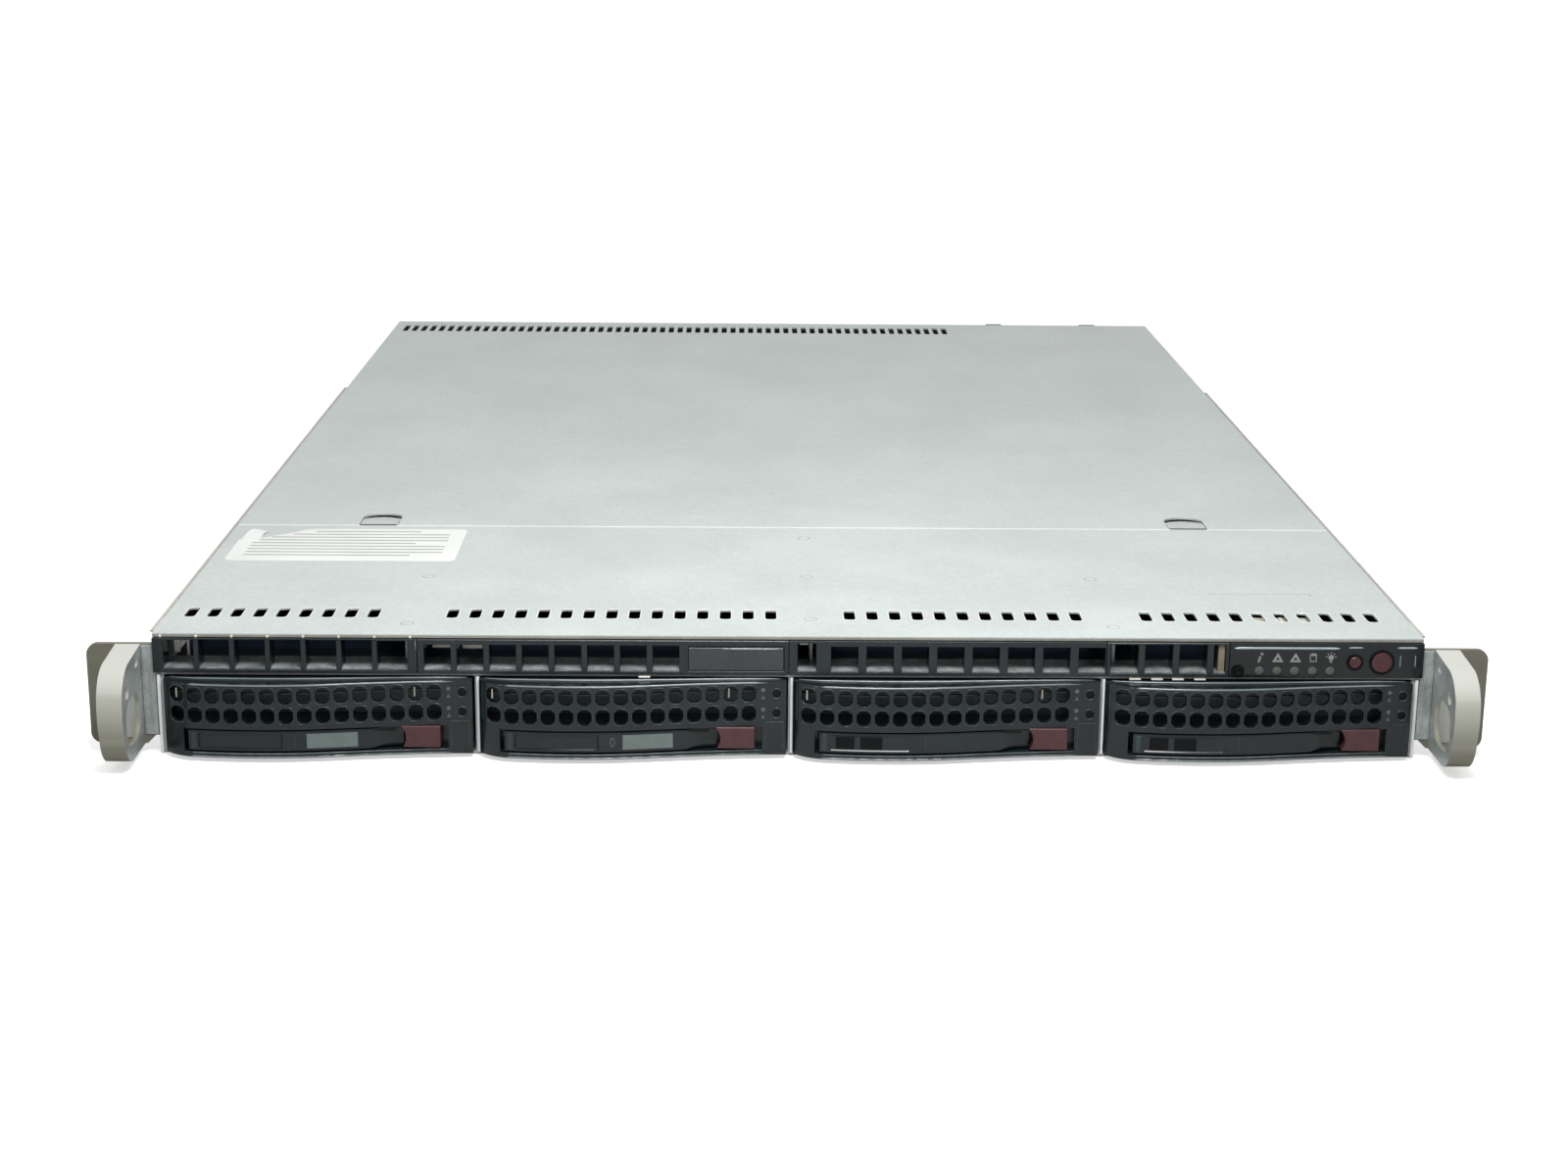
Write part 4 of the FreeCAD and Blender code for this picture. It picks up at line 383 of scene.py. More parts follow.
def bow_front(across):
    """How far in front of the front line the carrier's face lies, this far from the bay's left side."""
    for start, middle, end in bow:
        if across <= end[0]:
            break
    (ax, ay), (bx, by), (cx, cy) = start, middle, end
    d = 2 * (ax * (by - cy) + bx * (cy - ay) + cx * (ay - by))
    squares = [x * x + y * y for x, y in (start, middle, end)]
    ux = (squares[0] * (by - cy) + squares[1] * (cy - ay) + squares[2] * (ay - by)) / d
    uy = (squares[0] * (cx - bx) + squares[1] * (ax - cx) + squares[2] * (bx - ax)) / d
    reach = math.sqrt(max((ax - ux) ** 2 + (ay - uy) ** 2 - (across - ux) ** 2, 0))
    return uy - reach if by < uy else uy + reach


def bay_left(bay):
    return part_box(f"drive_carrier_{bay}")[0].x / MM


def rules(name, **inputs):
    """A Geometry Nodes tree with named inputs: the tree, its input node and each input's identifier."""
    tree = bpy.data.node_groups.new(name, "GeometryNodeTree")
    keys = {}
    for label, kind in inputs.items():
        item = tree.interface.new_socket(name=label, in_out="INPUT", socket_type="NodeSocket" + kind)
        keys[label] = item.identifier
    tree.interface.new_socket(name="Geometry", in_out="OUTPUT", socket_type="NodeSocketGeometry")
    return tree, tree.nodes.new("NodeGroupInput").outputs, keys


def close_rules(tree, shape, material):
    """Real meshes with their material, as the export needs, at the end of a tree."""
    real = add(tree, "GeometryNodeRealizeInstances", (0, shape))
    painted = add(tree, "GeometryNodeSetMaterial", ("Geometry", real), ("Material", material))
    add(tree, "NodeGroupOutput", (0, painted))


def grown(name, tree, keys, values, seeds=()):
    """Run a tree once and keep its result as a plain mesh."""
    start = bpy.data.meshes.new(name + "_start")
    start.from_pydata([Vector(seed) * MM for seed in seeds], [], [])
    holder = bpy.data.objects.new(name, start)
    bpy.context.scene.collection.objects.link(holder)
    growth = holder.modifiers.new("Growth", "NODES")
    growth.node_group = tree
    for label, value in values.items():
        growth[keys[label]] = value
    holder.update_tag()
    graph = bpy.context.evaluated_depsgraph_get()
    mesh = bpy.data.meshes.new_from_object(holder.evaluated_get(graph))
    holder.modifiers.clear()
    holder.data = mesh
    return holder


def rounded_wire(tree, given):
    """A thin wire in the shape of a rectangle with cut corners, from the tree's own inputs."""
    shape = add(tree, "GeometryNodeCurvePrimitiveQuadrilateral", ("Width", given["Width"]),
                ("Height", given["Height"]))
    shape = add(tree, "GeometryNodeFilletCurve", ("Curve", shape), ("Radius", given["Corner"]), ("Count", 3),
                mode="POLY")
    section = add(tree, "GeometryNodeCurvePrimitiveCircle", ("Resolution", 6), ("Radius", given["Wire"]))
    return add(tree, "GeometryNodeCurveToMesh", ("Curve", shape), ("Profile Curve", section))


rim_tree, rim_in, rim_keys = rules("hole_rims", Carrier="Object", Left="Float", Low="Float", Columns="Int",
                                   Rows="Int", Pitch="Float", RowGap="Float", Width="Float", Height="Float",
                                   Corner="Float", Wire="Float", Strip="Float", Finish="Material")
ring = rounded_wire(rim_tree, rim_in)
spans = []
for count, gap in (("Columns", "Pitch"), ("Rows", "RowGap")):
    gaps = add(rim_tree, "ShaderNodeMath", (0, rim_in[count]), (1, -1.0), operation="ADD")
    spans.append(add(rim_tree, "ShaderNodeMath", (0, gaps), (1, rim_in[gap]), operation="MULTIPLY"))
lattice = add(rim_tree, "GeometryNodeMeshGrid", ("Size X", spans[0]), ("Size Y", spans[1]),
              ("Vertices X", rim_in["Columns"]), ("Vertices Y", rim_in["Rows"]))
rings = add(rim_tree, "GeometryNodeInstanceOnPoints", ("Points", lattice), ("Instance", ring))
rings = add(rim_tree, "GeometryNodeRealizeInstances", (0, rings))
halves = [add(rim_tree, "ShaderNodeMath", (0, span), (1, 0.5), (2, rim_in[start]), operation="MULTIPLY_ADD")
          for span, start in zip(spans, ("Left", "Low"))]
middle = add(rim_tree, "ShaderNodeCombineXYZ", (0, halves[0]), (2, halves[1]))
upright = add(rim_tree, "GeometryNodeTransform", ("Geometry", rings), ("Translation", middle),
              ("Rotation", (math.pi / 2, 0, 0)))
here = add(rim_tree, "ShaderNodeSeparateXYZ", (0, add(rim_tree, "GeometryNodeInputPosition")))
aim = add(rim_tree, "ShaderNodeCombineXYZ", (0, here.outputs["X"]), (1, -1.0), (2, rim_in["Strip"]))
face = add(rim_tree, "GeometryNodeObjectInfo", ("Object", rim_in["Carrier"]), transform_space="ORIGINAL")
hit = add(rim_tree, "GeometryNodeRaycast", ("Target Geometry", face.outputs["Geometry"]),
          ("Source Position", aim), ("Ray Direction", (0, 1, 0)), ("Ray Length", 3.0))
hit_place = add(rim_tree, "ShaderNodeSeparateXYZ", (0, hit.outputs["Hit Position"]))
forward = add(rim_tree, "ShaderNodeMath", (0, here.outputs["Y"]), (1, hit_place.outputs["Y"]),
              operation="ADD")
bent = add(rim_tree, "ShaderNodeCombineXYZ", (0, here.outputs["X"]), (1, forward), (2, here.outputs["Z"]))
bent = add(rim_tree, "GeometryNodeSetPosition", ("Geometry", upright), ("Position", bent))
close_rules(rim_tree, bent, rim_in["Finish"])

carrier_plastic = moulded("moulded_black_abs", "#0E171B", "#152024", 0.20, relief=0.012)
# Raised rims and frames: the same ABS, painted a shade lighter as painted highlight on their edges.
highlight_rim_plastic = moulded("black_abs_rim_painted_highlight", "#222D32", "#2C383D", 0.30, relief=0.012)
gloss_plastic = moulded("polished_black_abs", "#0B1316", "#12191C", 0.10, relief=0.004)
# Painted sheen: the scoop is painted lighter than the bar to stand in for its gloss.
sheen_scoop_plastic = moulded("black_abs_painted_sheen", "#252E31", "#343E41", 0.16, relief=0.006, shine=0.9)
bezel_plastic = moulded("moulded_bezel_abs", "#141C20", "#1C262A", 0.24, relief=0.012)
# Painted highlight: beads along the rounded edges are painted light grey where the edges catch highlights.
highlight_plastic = moulded("black_abs_painted_highlight", "#636E70", "#828C8E", 0.14, relief=0.01, mottle=14.0,
                       shine=1)
pale_ink = moulded("screen_print_ink", "#5E6462", "#545A58", 0.6, shine=0.2)
# Matt black ABS for wells, pipes and rings; the same material is painted shade in the latch slits.
black_and_shade = moulded("matt_black_abs_and_painted_shade", "#080A0C", "#0D1012", 0.6, shine=0.15)
# Painted shade: a dark navy sheet lies on the deck behind the strip, where the deck is in shade under the
# cover.
shade_sheet = moulded("dark_sheet_painted_shade", "#131A26", "#18202C", 0.5, shine=0.2)
built("deck_film", [((shade_sheet_left, shade_sheet_start, shade_sheet_low), (shade_sheet_right, shade_sheet_end, shade_sheet_top))], shade_sheet, "chassis")


def vert(form, *place):
    """A vertex at a place in millimetres."""
    return form.verts.new(Vector(place) * MM)


def loft(form, rows):
    """Faces between rows of vertices and over both ends; gives the faces between, row by row."""
    bands = []
    for first, second in zip(rows, rows[1:]):
        band = []
        for side in range(len(first)):
            after = (side + 1) % len(first)
            band.append(form.faces.new((first[side], first[after], second[after], second[side])))
        bands.append(band)
    form.faces.new(rows[0][::-1])
    form.faces.new(rows[-1])
    return bands


def strip_along(form, left, start, end, low, high, proud, depth, steps=24):
    """A bar that follows the bow: its front stands proud of the face, its back lies behind it."""
    rows = []
    for step in range(steps + 1):
        across = start + (end - start) * step / steps
        line = front_line + bow_front(across)
        rows.append([vert(form, left + across, line + back, height)
                     for back, height in ((-proud, low), (-proud, high), (depth, high), (depth, low))])
    loft(form, rows)


def bead_along(form, left, start, end, height, radius, proud, share=1.0, steps=32, sides=8):
    """A round bead that follows a share of the bow, with its front this far proud of it."""
    rows = []
    for step in range(steps + 1):
        across = start + (end - start) * step / steps
        middle = front_line + share * bow_front(across) - proud + radius
        taper = radius * min(1.0, 0.35 + 0.65 * min(step, steps - step) / 3)
        turns = [2 * math.pi * side / sides for side in range(sides)]
        rows.append([vert(form, left + across, middle + taper * math.cos(angle),
                          height + taper * math.sin(angle)) for angle in turns])
    loft(form, rows)


def turned(form, profile, place, axis="y", steps=28, hollow=False):
    """A lathe-turned solid or, if hollow, ring: profile holds radius and distance along the axis."""
    rings = []
    for radius, along in profile:
        turns = [2 * math.pi * step / steps for step in range(steps)] if radius else [0.0]
        ring = []
        for angle in turns:
            first, second = radius * math.cos(angle), radius * math.sin(angle)
            offset = {"x": (along, first, second), "y": (first, along, second), "z": (first, second, along)}
            ring.append(vert(form, *(Vector(place) + Vector(offset[axis]))))
        rings.append(ring)
    for ring, following in zip(rings, rings[1:] + (rings[:1] if hollow else [])):
        for step in range(steps):
            one, two = step, (step + 1) % steps
            if len(ring) == 1:
                form.faces.new((ring[0], following[two], following[one]))
            elif len(following) == 1:
                form.faces.new((ring[one], ring[two], following[0]))
            else:
                form.faces.new((ring[one], ring[two], following[two], following[one]))
    if len(rings[0]) > 1 and not hollow:
        form.faces.new(rings[0][::-1])
    if len(rings[-1]) > 1 and not hollow:
        form.faces.new(rings[-1])


def prism(form, front, back):
    """A closed body between two outlines of vertices."""
    form.faces.new(front)
    form.faces.new(back[::-1])
    for index in range(len(front)):
        after = (index + 1) % len(front)
        form.faces.new((front[index], back[index], back[after], front[after]))


def outline_plate(form, points, low, high, axis="y"):
    """A flat plate with this outline: points are across and up for y, across and along for z."""
    place = {"y": lambda a, b, c: (a, c, b), "z": lambda a, b, c: (a, b, c)}[axis]
    prism(form, [vert(form, *place(a, b, low)) for a, b in points],
          [vert(form, *place(a, b, high)) for a, b in points])


def oblong(left, right, low, high):
    """The outline of a rectangle."""
    return [(left, low), (right, low), (right, high), (left, high)]


def circle_points(centre, radius, steps=16, squash=1.0):
    return [(centre[0] + radius * math.cos(2 * math.pi * step / steps),
             centre[1] + squash * radius * math.sin(2 * math.pi * step / steps)) for step in range(steps)]


for bay in bays:
    carrier = f"carrier_{bay}"
    node = f"drive_{carrier}"
    left = bay_left(bay)
    dressed(node, carrier_plastic, 0.28)
    rims = grown(f"{carrier}_rims", rim_tree, rim_keys, {
        "Carrier": nodes[node], "Left": (left + hole_first) * MM, "Low": hole_rows[0] * MM,
        "Columns": hole_columns, "Rows": len(hole_rows), "Pitch": hole_pitch * MM,
        "RowGap": (hole_rows[1] - hole_rows[0]) * MM, "Width": (hole_width + rim_wider) * MM,
        "Height": (hole_height + rim_wider) * MM, "Corner": hole_fillet * MM, "Wire": rim_wire * MM,
        "Strip": solid_strip * MM, "Finish": highlight_rim_plastic})
    smooth(rims.data, 60)
    settle(rims, carrier)

    form = bmesh.new()
    for bead in lip_beads:
        bead_along(form, left, *bead)
    finished(f"{carrier}_lips", form, highlight_plastic, carrier, angle=60)

    pipe_line = front_line + bow_front(pipe_across)
    form = bmesh.new()
    for start, end, low, high in face_lines:
        strip_along(form, left, start, end, low, high, 0.2, 0.6, 2)
    strip_along(form, left, *inner_rail)
    for row in hole_rows:
        turned(form, pipe_ring, (left + pipe_across, pipe_line, row), hollow=True)
    finished(f"{carrier}_frames", form, highlight_rim_plastic, carrier, 0.08)

    form = bmesh.new()
    middle = left + sign_across
    line = front_line + bow_front(sign_across)
    for row in hole_rows:
        dot = circle_points((middle, row + dot_rise), dot_radius, 10)
        arrow = [(middle - arrow_half, row + arrow_foot), (middle + arrow_half, row + arrow_foot),
                 (middle, row + arrow_tip)]
        for outline in (dot, arrow):
            outline_plate(form, outline, line - mark_proud, line + mark_deep)
    finished(f"{carrier}_marks", form, pale_ink, carrier)

    if bay < 4:
        springs = []
        for column in spring_columns:
            across = hole_first + hole_pitch * column
            line = front_line + bow_front(across) + spring_behind
            springs.append(((left + across + spring_left, line, spring_low),
                            (left + across + spring_right, line + spring_deep, spring_high)))
        built(f"{carrier}_springs", springs, bright_tin, carrier, 0.1)

    form = bmesh.new()
    for row in hole_rows:
        turned(form, pipe_profile, (left + pipe_across, pipe_line, row))
    finished(f"{carrier}_pipes", form, black_and_shade, carrier)

# Hard drives: die-cast aluminium under a grey dip coat, held between the carrier's runners. The
# coat has a fine sandy skin, so the holes in front of it stay dark. A white label is stuck on top.

label_half, label_front, label_rear, label_thick = 30.0, -262.0, -212.0, 0.06
print_half, print_rear, print_step, print_wide, print_top, print_rows = 26.0, -219.0, 5.0, 1.2, 0.09, 8
hub_profile, hub_along = [(0, 0.5), (11.5, 0.5), (12.0, 0.3), (12.0, 0), (0, 0)], -285.0
screw_profile = [(0, 0.2), (1.3, 0.2), (1.5, 0.5), (2.3, 0.5), (2.6, 0), (0, 0)]
lid_screws = [(across, along) for across in (-44, 44) for along in (-312, -245, -180)]
cast_aluminium = sheet_metal("grey_coated_casting", "#6B6F73", "#52565A", 0.48, 1.2, 18.0, 0.5, 0.05,
                             bare=0.3)
paper = moulded("coated_white_paper", "#F2F4F0", "#E8EAE6", 0.55, 1.1, 0.02, 25.0)
rule_grey = moulded("grey_ruling_ink", "#969C9B", "#A8ADAC", 0.6)
for bay in bays:
    drive, body = f"drive_{bay}", f"carrier_{bay}"
    coat(cast_aluminium, f"hard_{drive}")
    low, high = (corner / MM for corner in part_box(f"hard_{drive}"))
    middle, top = (low.x + high.x) / 2, high.z
    label = ((middle - label_half, label_front, top), (middle + label_half, label_rear, top + label_thick))
    built(f"{drive}_label", [label], paper, body)
    form = bmesh.new()
    for index in range(print_rows):
        along = print_rear - print_step * index
        outline_plate(form, oblong(middle - print_half, middle + print_half, along, along + print_wide),
                      top + label_thick, top + print_top, "z")
    finished(f"{drive}_label_rules", form, rule_grey, body)
    form = bmesh.new()
    turned(form, hub_profile, (middle, hub_along, top), "z", 40)
    for across, along in lid_screws:
        turned(form, screw_profile, (middle + across, along, top), "z", 20)
    finished(f"{drive}_hub", form, cast_aluminium, body)

# Levers: each is one moulded ABS bar on a pin, with a framed label window, a grey paper tag on the
# first two, and a scoop for a fingertip beside the release button, painted lighter as painted sheen.

lever_start, lever_end, lever_step = 9.0, 81.0, 2.0
lever_low, lever_high, lever_back = 4.0, 11.2, -0.6
window_start, window_end, window_rim, window_slope = 12.6, 41.0, 1.0, 0.15
scoop_start, scoop_run, scoop_depth = 69.5, 8.5, 3.1
tip_middle, tip_half, tip_reach = 7.7, 3.6, 1.3
mark_line = (45.2, 45.6, 5.4, 9.9, 0.12, 0.4, 2)
window_line = (lever_start + 0.9, window_start - 1.0, 4.7, 10.5, 0.15, 0.5, 4)
tag_strip = (49.5, 66.6, 5.0, 10.2, 0.1, 0.3, 10)
well_strips = ((14.6, 21.0, 5.5, 9.8, -0.2, 0.9, 6), (23.0, 30.6, 5.5, 9.8, -0.2, 0.9, 6))
tag_grey = moulded("grey_paper_tag", "#66716F", "#6E7977", 0.75, 0.6, 0.02, 3.0, shine=0.2)


def scoop(across):
    share = min(max((across - scoop_start) / scoop_run, 0), 1)
    return scoop_depth * share * share * (3 - 2 * share)


def lever_end_at(height):
    """The free end is rounded, so that it nests in the button's hollow side."""
    share = (height - tip_middle) / tip_half
    return tip_reach * (1 - share * share)


def lever_form(left, window_depth):
    form = bmesh.new()
    edge = [window_start, window_end]
    stations = sorted([lever_start + step * lever_step for step in range(37)]
                      + [spot + shift for spot in edge for shift in (-0.25, 0.25)] + [lever_end])
    stations = [spot for spot in stations if all(abs(spot - side) > 0.2 for side in edge)]
    sill, head = lever_low + window_rim, lever_high - window_rim
    rows = []
    for across in stations:
        front = bow_front(across) + scoop(across)
        hollow = window_depth if window_start < across < window_end else 0.0
        neck = 0.5 + 1.5 * scoop(across) / scoop_depth
        profile = [(lever_back, lever_low), (front + 0.5, lever_low), (front + 0.12, lever_low + 0.12),
                   (front, lever_low + 0.5), (front, sill - window_slope),
                   (front + hollow, sill + window_slope), (front + hollow, head - window_slope),
                   (front, head + window_slope),
                   (front, lever_high - neck), (front + 0.25 * neck, lever_high - 0.25 * neck),
                   (front + neck, lever_high), (lever_back, lever_high)]
        tip = 1.0 if across == lever_end else 0.0
        rows.append([vert(form, left + across + tip * lever_end_at(height), front_line + along, height)
                     for along, height in profile])
    for start, band in zip(stations, loft(form, rows)):
        for patch in band:
            patch.material_index = 1 if start > scoop_start else 0
    return form


for bay in bays:
    lever = f"lever_{bay}"
    left = bay_left(bay)
    tagged = bay < 3
    bar = finished(f"{lever}_bar", lever_form(left, 0.7 if tagged else 0.3), carrier_plastic, lever,
                   angle=40)
    bar.data.materials.append(sheen_scoop_plastic)
    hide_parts(f"carrier_lever_{bay}")

    form = bmesh.new()
    if bay != 2:
        strip_along(form, left, *mark_line)
    strip_along(form, left, *window_line)
    finished(f"{lever}_frame", form, highlight_rim_plastic, lever, 0.1)

    form = bmesh.new()
    for strip in (tag_strip,) if tagged else well_strips:
        strip_along(form, left, *strip)
    if tagged:
        finished(f"{lever}_tag", form, tag_grey, lever, 0.04)
    else:
        finished(f"{lever}_wells", form, black_and_shade, lever)

# Plain nought on the second lever: a thin oval ring of pale ink, screen-printed on the moulded bar
# to the left of its tag.

nought_place, nought_steps, ink_thick = (46.0, 7.6), 20, 0.08
nought_outer, nought_inner = (0.95, nought_steps, 1.75), (0.55, nought_steps, 2.2)
form = bmesh.new()
left = bay_left(2)
line = front_line + bow_front(nought_place[0]) - 0.06
outer, inner = ([vert(form, left + a, line, b) for a, b in circle_points(nought_place, *oval)]
                for oval in (nought_outer, nought_inner))
for step in range(nought_steps):
    after = (step + 1) % nought_steps
    form.faces.new((outer[step], outer[after], inner[after], inner[step]))
nought = finished("lever_2_nought", form, pale_ink, "lever_2")
thickness = nought.modifiers.new("Ink", "SOLIDIFY")
thickness.thickness = ink_thick * MM
thickness.offset = -1

# Release buttons: maroon ABS, moulded, a wedge whose left side is hollow where the lever's end nests.

button_left, button_right, button_low, button_high = 81.5, 94.7, 4.25, 11.9
button_gap, button_proud, button_slope, button_back, button_steps = 0.05, 0.45, 0.09, -0.5, 10
maroon = moulded("moulded_maroon_abs", "#432427", "#4D2A2E", 0.32, 0.3, 0.02, 3.0)
for bay in bays:
    left = bay_left(bay)
    form = bmesh.new()
    heights = [button_low + (button_high - button_low) * step / button_steps
               for step in range(button_steps + 1)]
    points = [(button_left + button_gap + lever_end_at(height), height) for height in heights]
    points += [(button_right, button_high), (button_right, button_low)]
    front = [vert(form, left + a,
                  front_line + bow_front(a) - button_proud - button_slope * (a - button_left), b)
             for a, b in points]
    prism(form, front, [vert(form, left + a, front_line + button_back, b) for a, b in points])
    button = finished(f"release_{bay}_wedge", form, maroon, f"release_{bay}", 0.35, 3)
    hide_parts(f"release_button_{bay}")

# Upper bezel: four black ABS grilles clipped over the deck, with a bare, polished name plate.
# Bright pips of the cover's lip show above each rib of the left grille.

rib_start, rib_pitch, ribs, pip_height = -215.7, 12.2, 8, 41.95
plate_low, plate_high = (-34.9, -326.45, 31.0), (-2.3, -325.9, 39.0)
plate_lip, plate_lip_place = [(0.1, 0), (0.35, 3.0), (0.35, 16.0), (0.1, 19.0)], (-23.0, -326.5, 38.7)
for name in ("left_vent_bezel", "middle_vent_bezel", "right_vent_bezel", "corner_vent_bezel"):
    dressed(name, bezel_plastic, 0.3)

plate_plastic = moulded("polished_name_plate", "#1C2326", "#262E31", 0.12, 0.3, 0.004, 9.0, shine=0.8)
built("name_plate", [(plate_low, plate_high)], plate_plastic, "chassis", 0.25, 3)
# Painted highlight: a light bead along the top of the name plate.
form = bmesh.new()
turned(form, plate_lip, plate_lip_place, "x", 10)
finished("name_plate_lip", form, highlight_plastic, "chassis", angle=60)

pip_tree, pip_in, pip_keys = rules("set_out", Geometry="Geometry", Shape="Object", Finish="Material")
shape = add(pip_tree, "GeometryNodeObjectInfo", ("Object", pip_in["Shape"]), transform_space="ORIGINAL")
pips = add(pip_tree, "GeometryNodeInstanceOnPoints", ("Points", pip_in["Geometry"]),
           ("Instance", shape.outputs["Geometry"]))
close_rules(pip_tree, pips, pip_in["Finish"])


def set_out(name, build, places, material, body):
    """Put one small shape, built about the origin, at many places by Geometry Nodes."""
    form = bmesh.new()
    build(form)
    bmesh.ops.recalc_face_normals(form, faces=form.faces)
    mesh = bpy.data.meshes.new(name + "_unit")
    form.to_mesh(mesh)
    form.free()
    unit = shown(name + "_unit", mesh, None)
    thing = grown(name, pip_tree, pip_keys, {"Shape": unit, "Finish": material}, places)
    bpy.data.objects.remove(unit)
    smooth(thing.data, 40)
    return settle(thing, body)


def pip(form):
    turned(form, [(0, -0.5), (0.35, -0.4), (0.55, -0.1), (0.55, 0.25), (0, 0.25)], (0, 0, 0), "y", 12)


pip_places = [(rib_start + rib_pitch * index, front_line - 0.25, pip_height) for index in range(ribs)]
set_out("lip_pips", pip, pip_places, bright_tin, "chassis")

# Brackets and clamp behind the bezel: bent tinplate that holds the front cables, bright in a few
# cells of the grilles, and a beige painted steel bracket in the corner.

bracket_boxes = [((-124.4, -312.0, 34.2), (-117.2, -311.4, 39.4)),
                 ((-113.8, -313.5, 34.2), (-106.8, -312.9, 39.6)),
                 ((-113.8, -313.5, 34.2), (-106.8, -305.0, 34.8)),
                 ((-124.4, -312.0, 34.2), (-117.2, -304.0, 34.8)),
                 ((3.4, -315.6, 37.0), (6.6, -315.2, 40.2)),
                 ((-213.6, -314.2, 33.0), (-211.4, -313.6, 39.8)),
                 ((-209.6, -312.2, 31.2), (-208.6, -311.6, 37.0)),
                 ((-146.6, -320.6, 40.2), (-141.2, -319.8, 40.9))]
clamp_boxes = [((163.4, -306.0, 40.2), (185.0, -291.0, 40.8))]
clamp_boxes += [((middle - 0.6, -304.5, 40.8), (middle + 0.6, -293.0, 41.4))
                for middle in (169.0, 175.0, 181.0)]
corner_boxes = [((147.6, -325.6, 30.7), (149.9, -312.0, 40.9)),
                ((144.6, -314.0, 30.7), (149.9, -312.0, 32.2))]
beige_paint = moulded("beige_painted_steel", "#7C7262", "#8A8070", 0.5)
built("cable_brackets", bracket_boxes, bright_tin, "chassis", 0.15)
built("cable_clamp", clamp_boxes, bright_tin, "chassis", 0.2)
built("corner_bracket", corner_boxes, beige_paint, "chassis", 0.3)

# Control panel: glossy black ABS with a lip whose beads are painted pale as painted highlight, five
# grey-green lenses and three push buttons in dark rings. Plain shapes are screen-printed over the lenses.

panel_front, sign_height = -326.5, 36.5
lens_first, lens_step, lens_height, lens_count = 161.87, 6.13, 31.6, 5
lens_profile = [(0, -0.05), (1.0, 0.0), (1.6, 0.12), (1.82, 0.35), (1.82, 1.6), (0, 1.6)]
long_lips, lip_run = ((152.8, 189.4, 39.8, 0.5), (191.8, 198.0, 40.1, 0.35), (208.8, 216.4, 40.1, 0.42)), 1.6
short_lips, short_lip = (210.4, 215.6), [(0.1, 0), (0.18, 0.6), (0.18, 3.8), (0.1, 4.4)]
# Painted highlight: the lip's beads are painted pale grey-blue where they catch highlights.
highlight_lip_plastic = moulded("panel_lip_painted_highlight", "#86979A", "#A3B1B3", 0.12, mottle=9.0, shine=0.8)
dressed("control_panel", gloss_plastic, 0.35)
form = bmesh.new()
for start, end, height, radius in long_lips:
    run = end - start
    turned(form, [(0.4 * radius, 0), (radius, lip_run), (radius, run - lip_run), (0.4 * radius, run)],
           (start, panel_front + 0.2, height), "x", 10)
for across in short_lips:
    turned(form, short_lip, (across, panel_front + 0.1, 33.2), "z", 8)
finished("panel_lips", form, highlight_lip_plastic, "chassis", angle=60)

lens_plastic = moulded("frosted_grey_acrylic", "#4C524B", "#585E56", 0.30, 0.8, 0.01, 1.5)


def lens(form):
    turned(form, lens_profile, (0, 0, 0), "y", 24)


lens_places = [(lens_first + lens_step * index, panel_front + 0.05, lens_height)
               for index in range(lens_count)]
lenses = set_out("panel_lenses", lens, lens_places, lens_plastic, "chassis")
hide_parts("indicator_lenses")

form = bmesh.new()
ink_lines = (panel_front - 0.05, panel_front + 0.02)


def sign(middle, points):
    """A printed shape, with its points given from the middle of its sign."""
    outline_plate(form, [(middle + a, sign_height + b) for a, b in points], *ink_lines)


letter, first_triangle, second_triangle, drum, bulb = [place[0] for place in lens_places]
sign(letter, [(-0.9, -1.7), (-0.1, -1.7), (0.5, 0.4), (-0.3, 0.4)])
sign(letter, circle_points((0.6, 1.3), 0.5, 10))
for middle in (first_triangle, second_triangle):
    outer = [(-2.0, -1.6), (2.0, -1.6), (0, 1.7)]
    inner = [(-0.7, -0.9), (0.7, -0.9), (0, 0.3)]
    for step in range(3):
        after = (step + 1) % 3
        sign(middle, [outer[step], outer[after], inner[after], inner[step]])
sign(drum, circle_points((0, 1.1), 1.2, 16, 0.42))
for outline in (oblong(-1.2, -0.85, -1.2, 1.0), oblong(0.85, 1.2, -1.2, 1.0), oblong(-1.2, 1.2, -1.5, -1.1)):
    sign(drum, outline)
sign(bulb, circle_points((0, 0.1), 0.95, 14))
sign(bulb, oblong(-0.4, 0.4, -1.7, -1.1))
for step in range(5):
    angle = math.pi * (0.05 + 0.225 * step)
    out, aside = (math.cos(angle), math.sin(angle)), (-0.15 * math.sin(angle), 0.15 * math.cos(angle))
    sign(bulb, [(reach * out[0] + turn_to * aside[0], 0.1 + reach * out[1] + turn_to * aside[1])
                for reach, turn_to in ((1.3, -1), (1.9, -1), (1.9, 1), (1.3, 1))])
finished("panel_signs", form, moulded("pale_screen_ink", "#8E928E", "#7E827E", 0.6), "chassis")

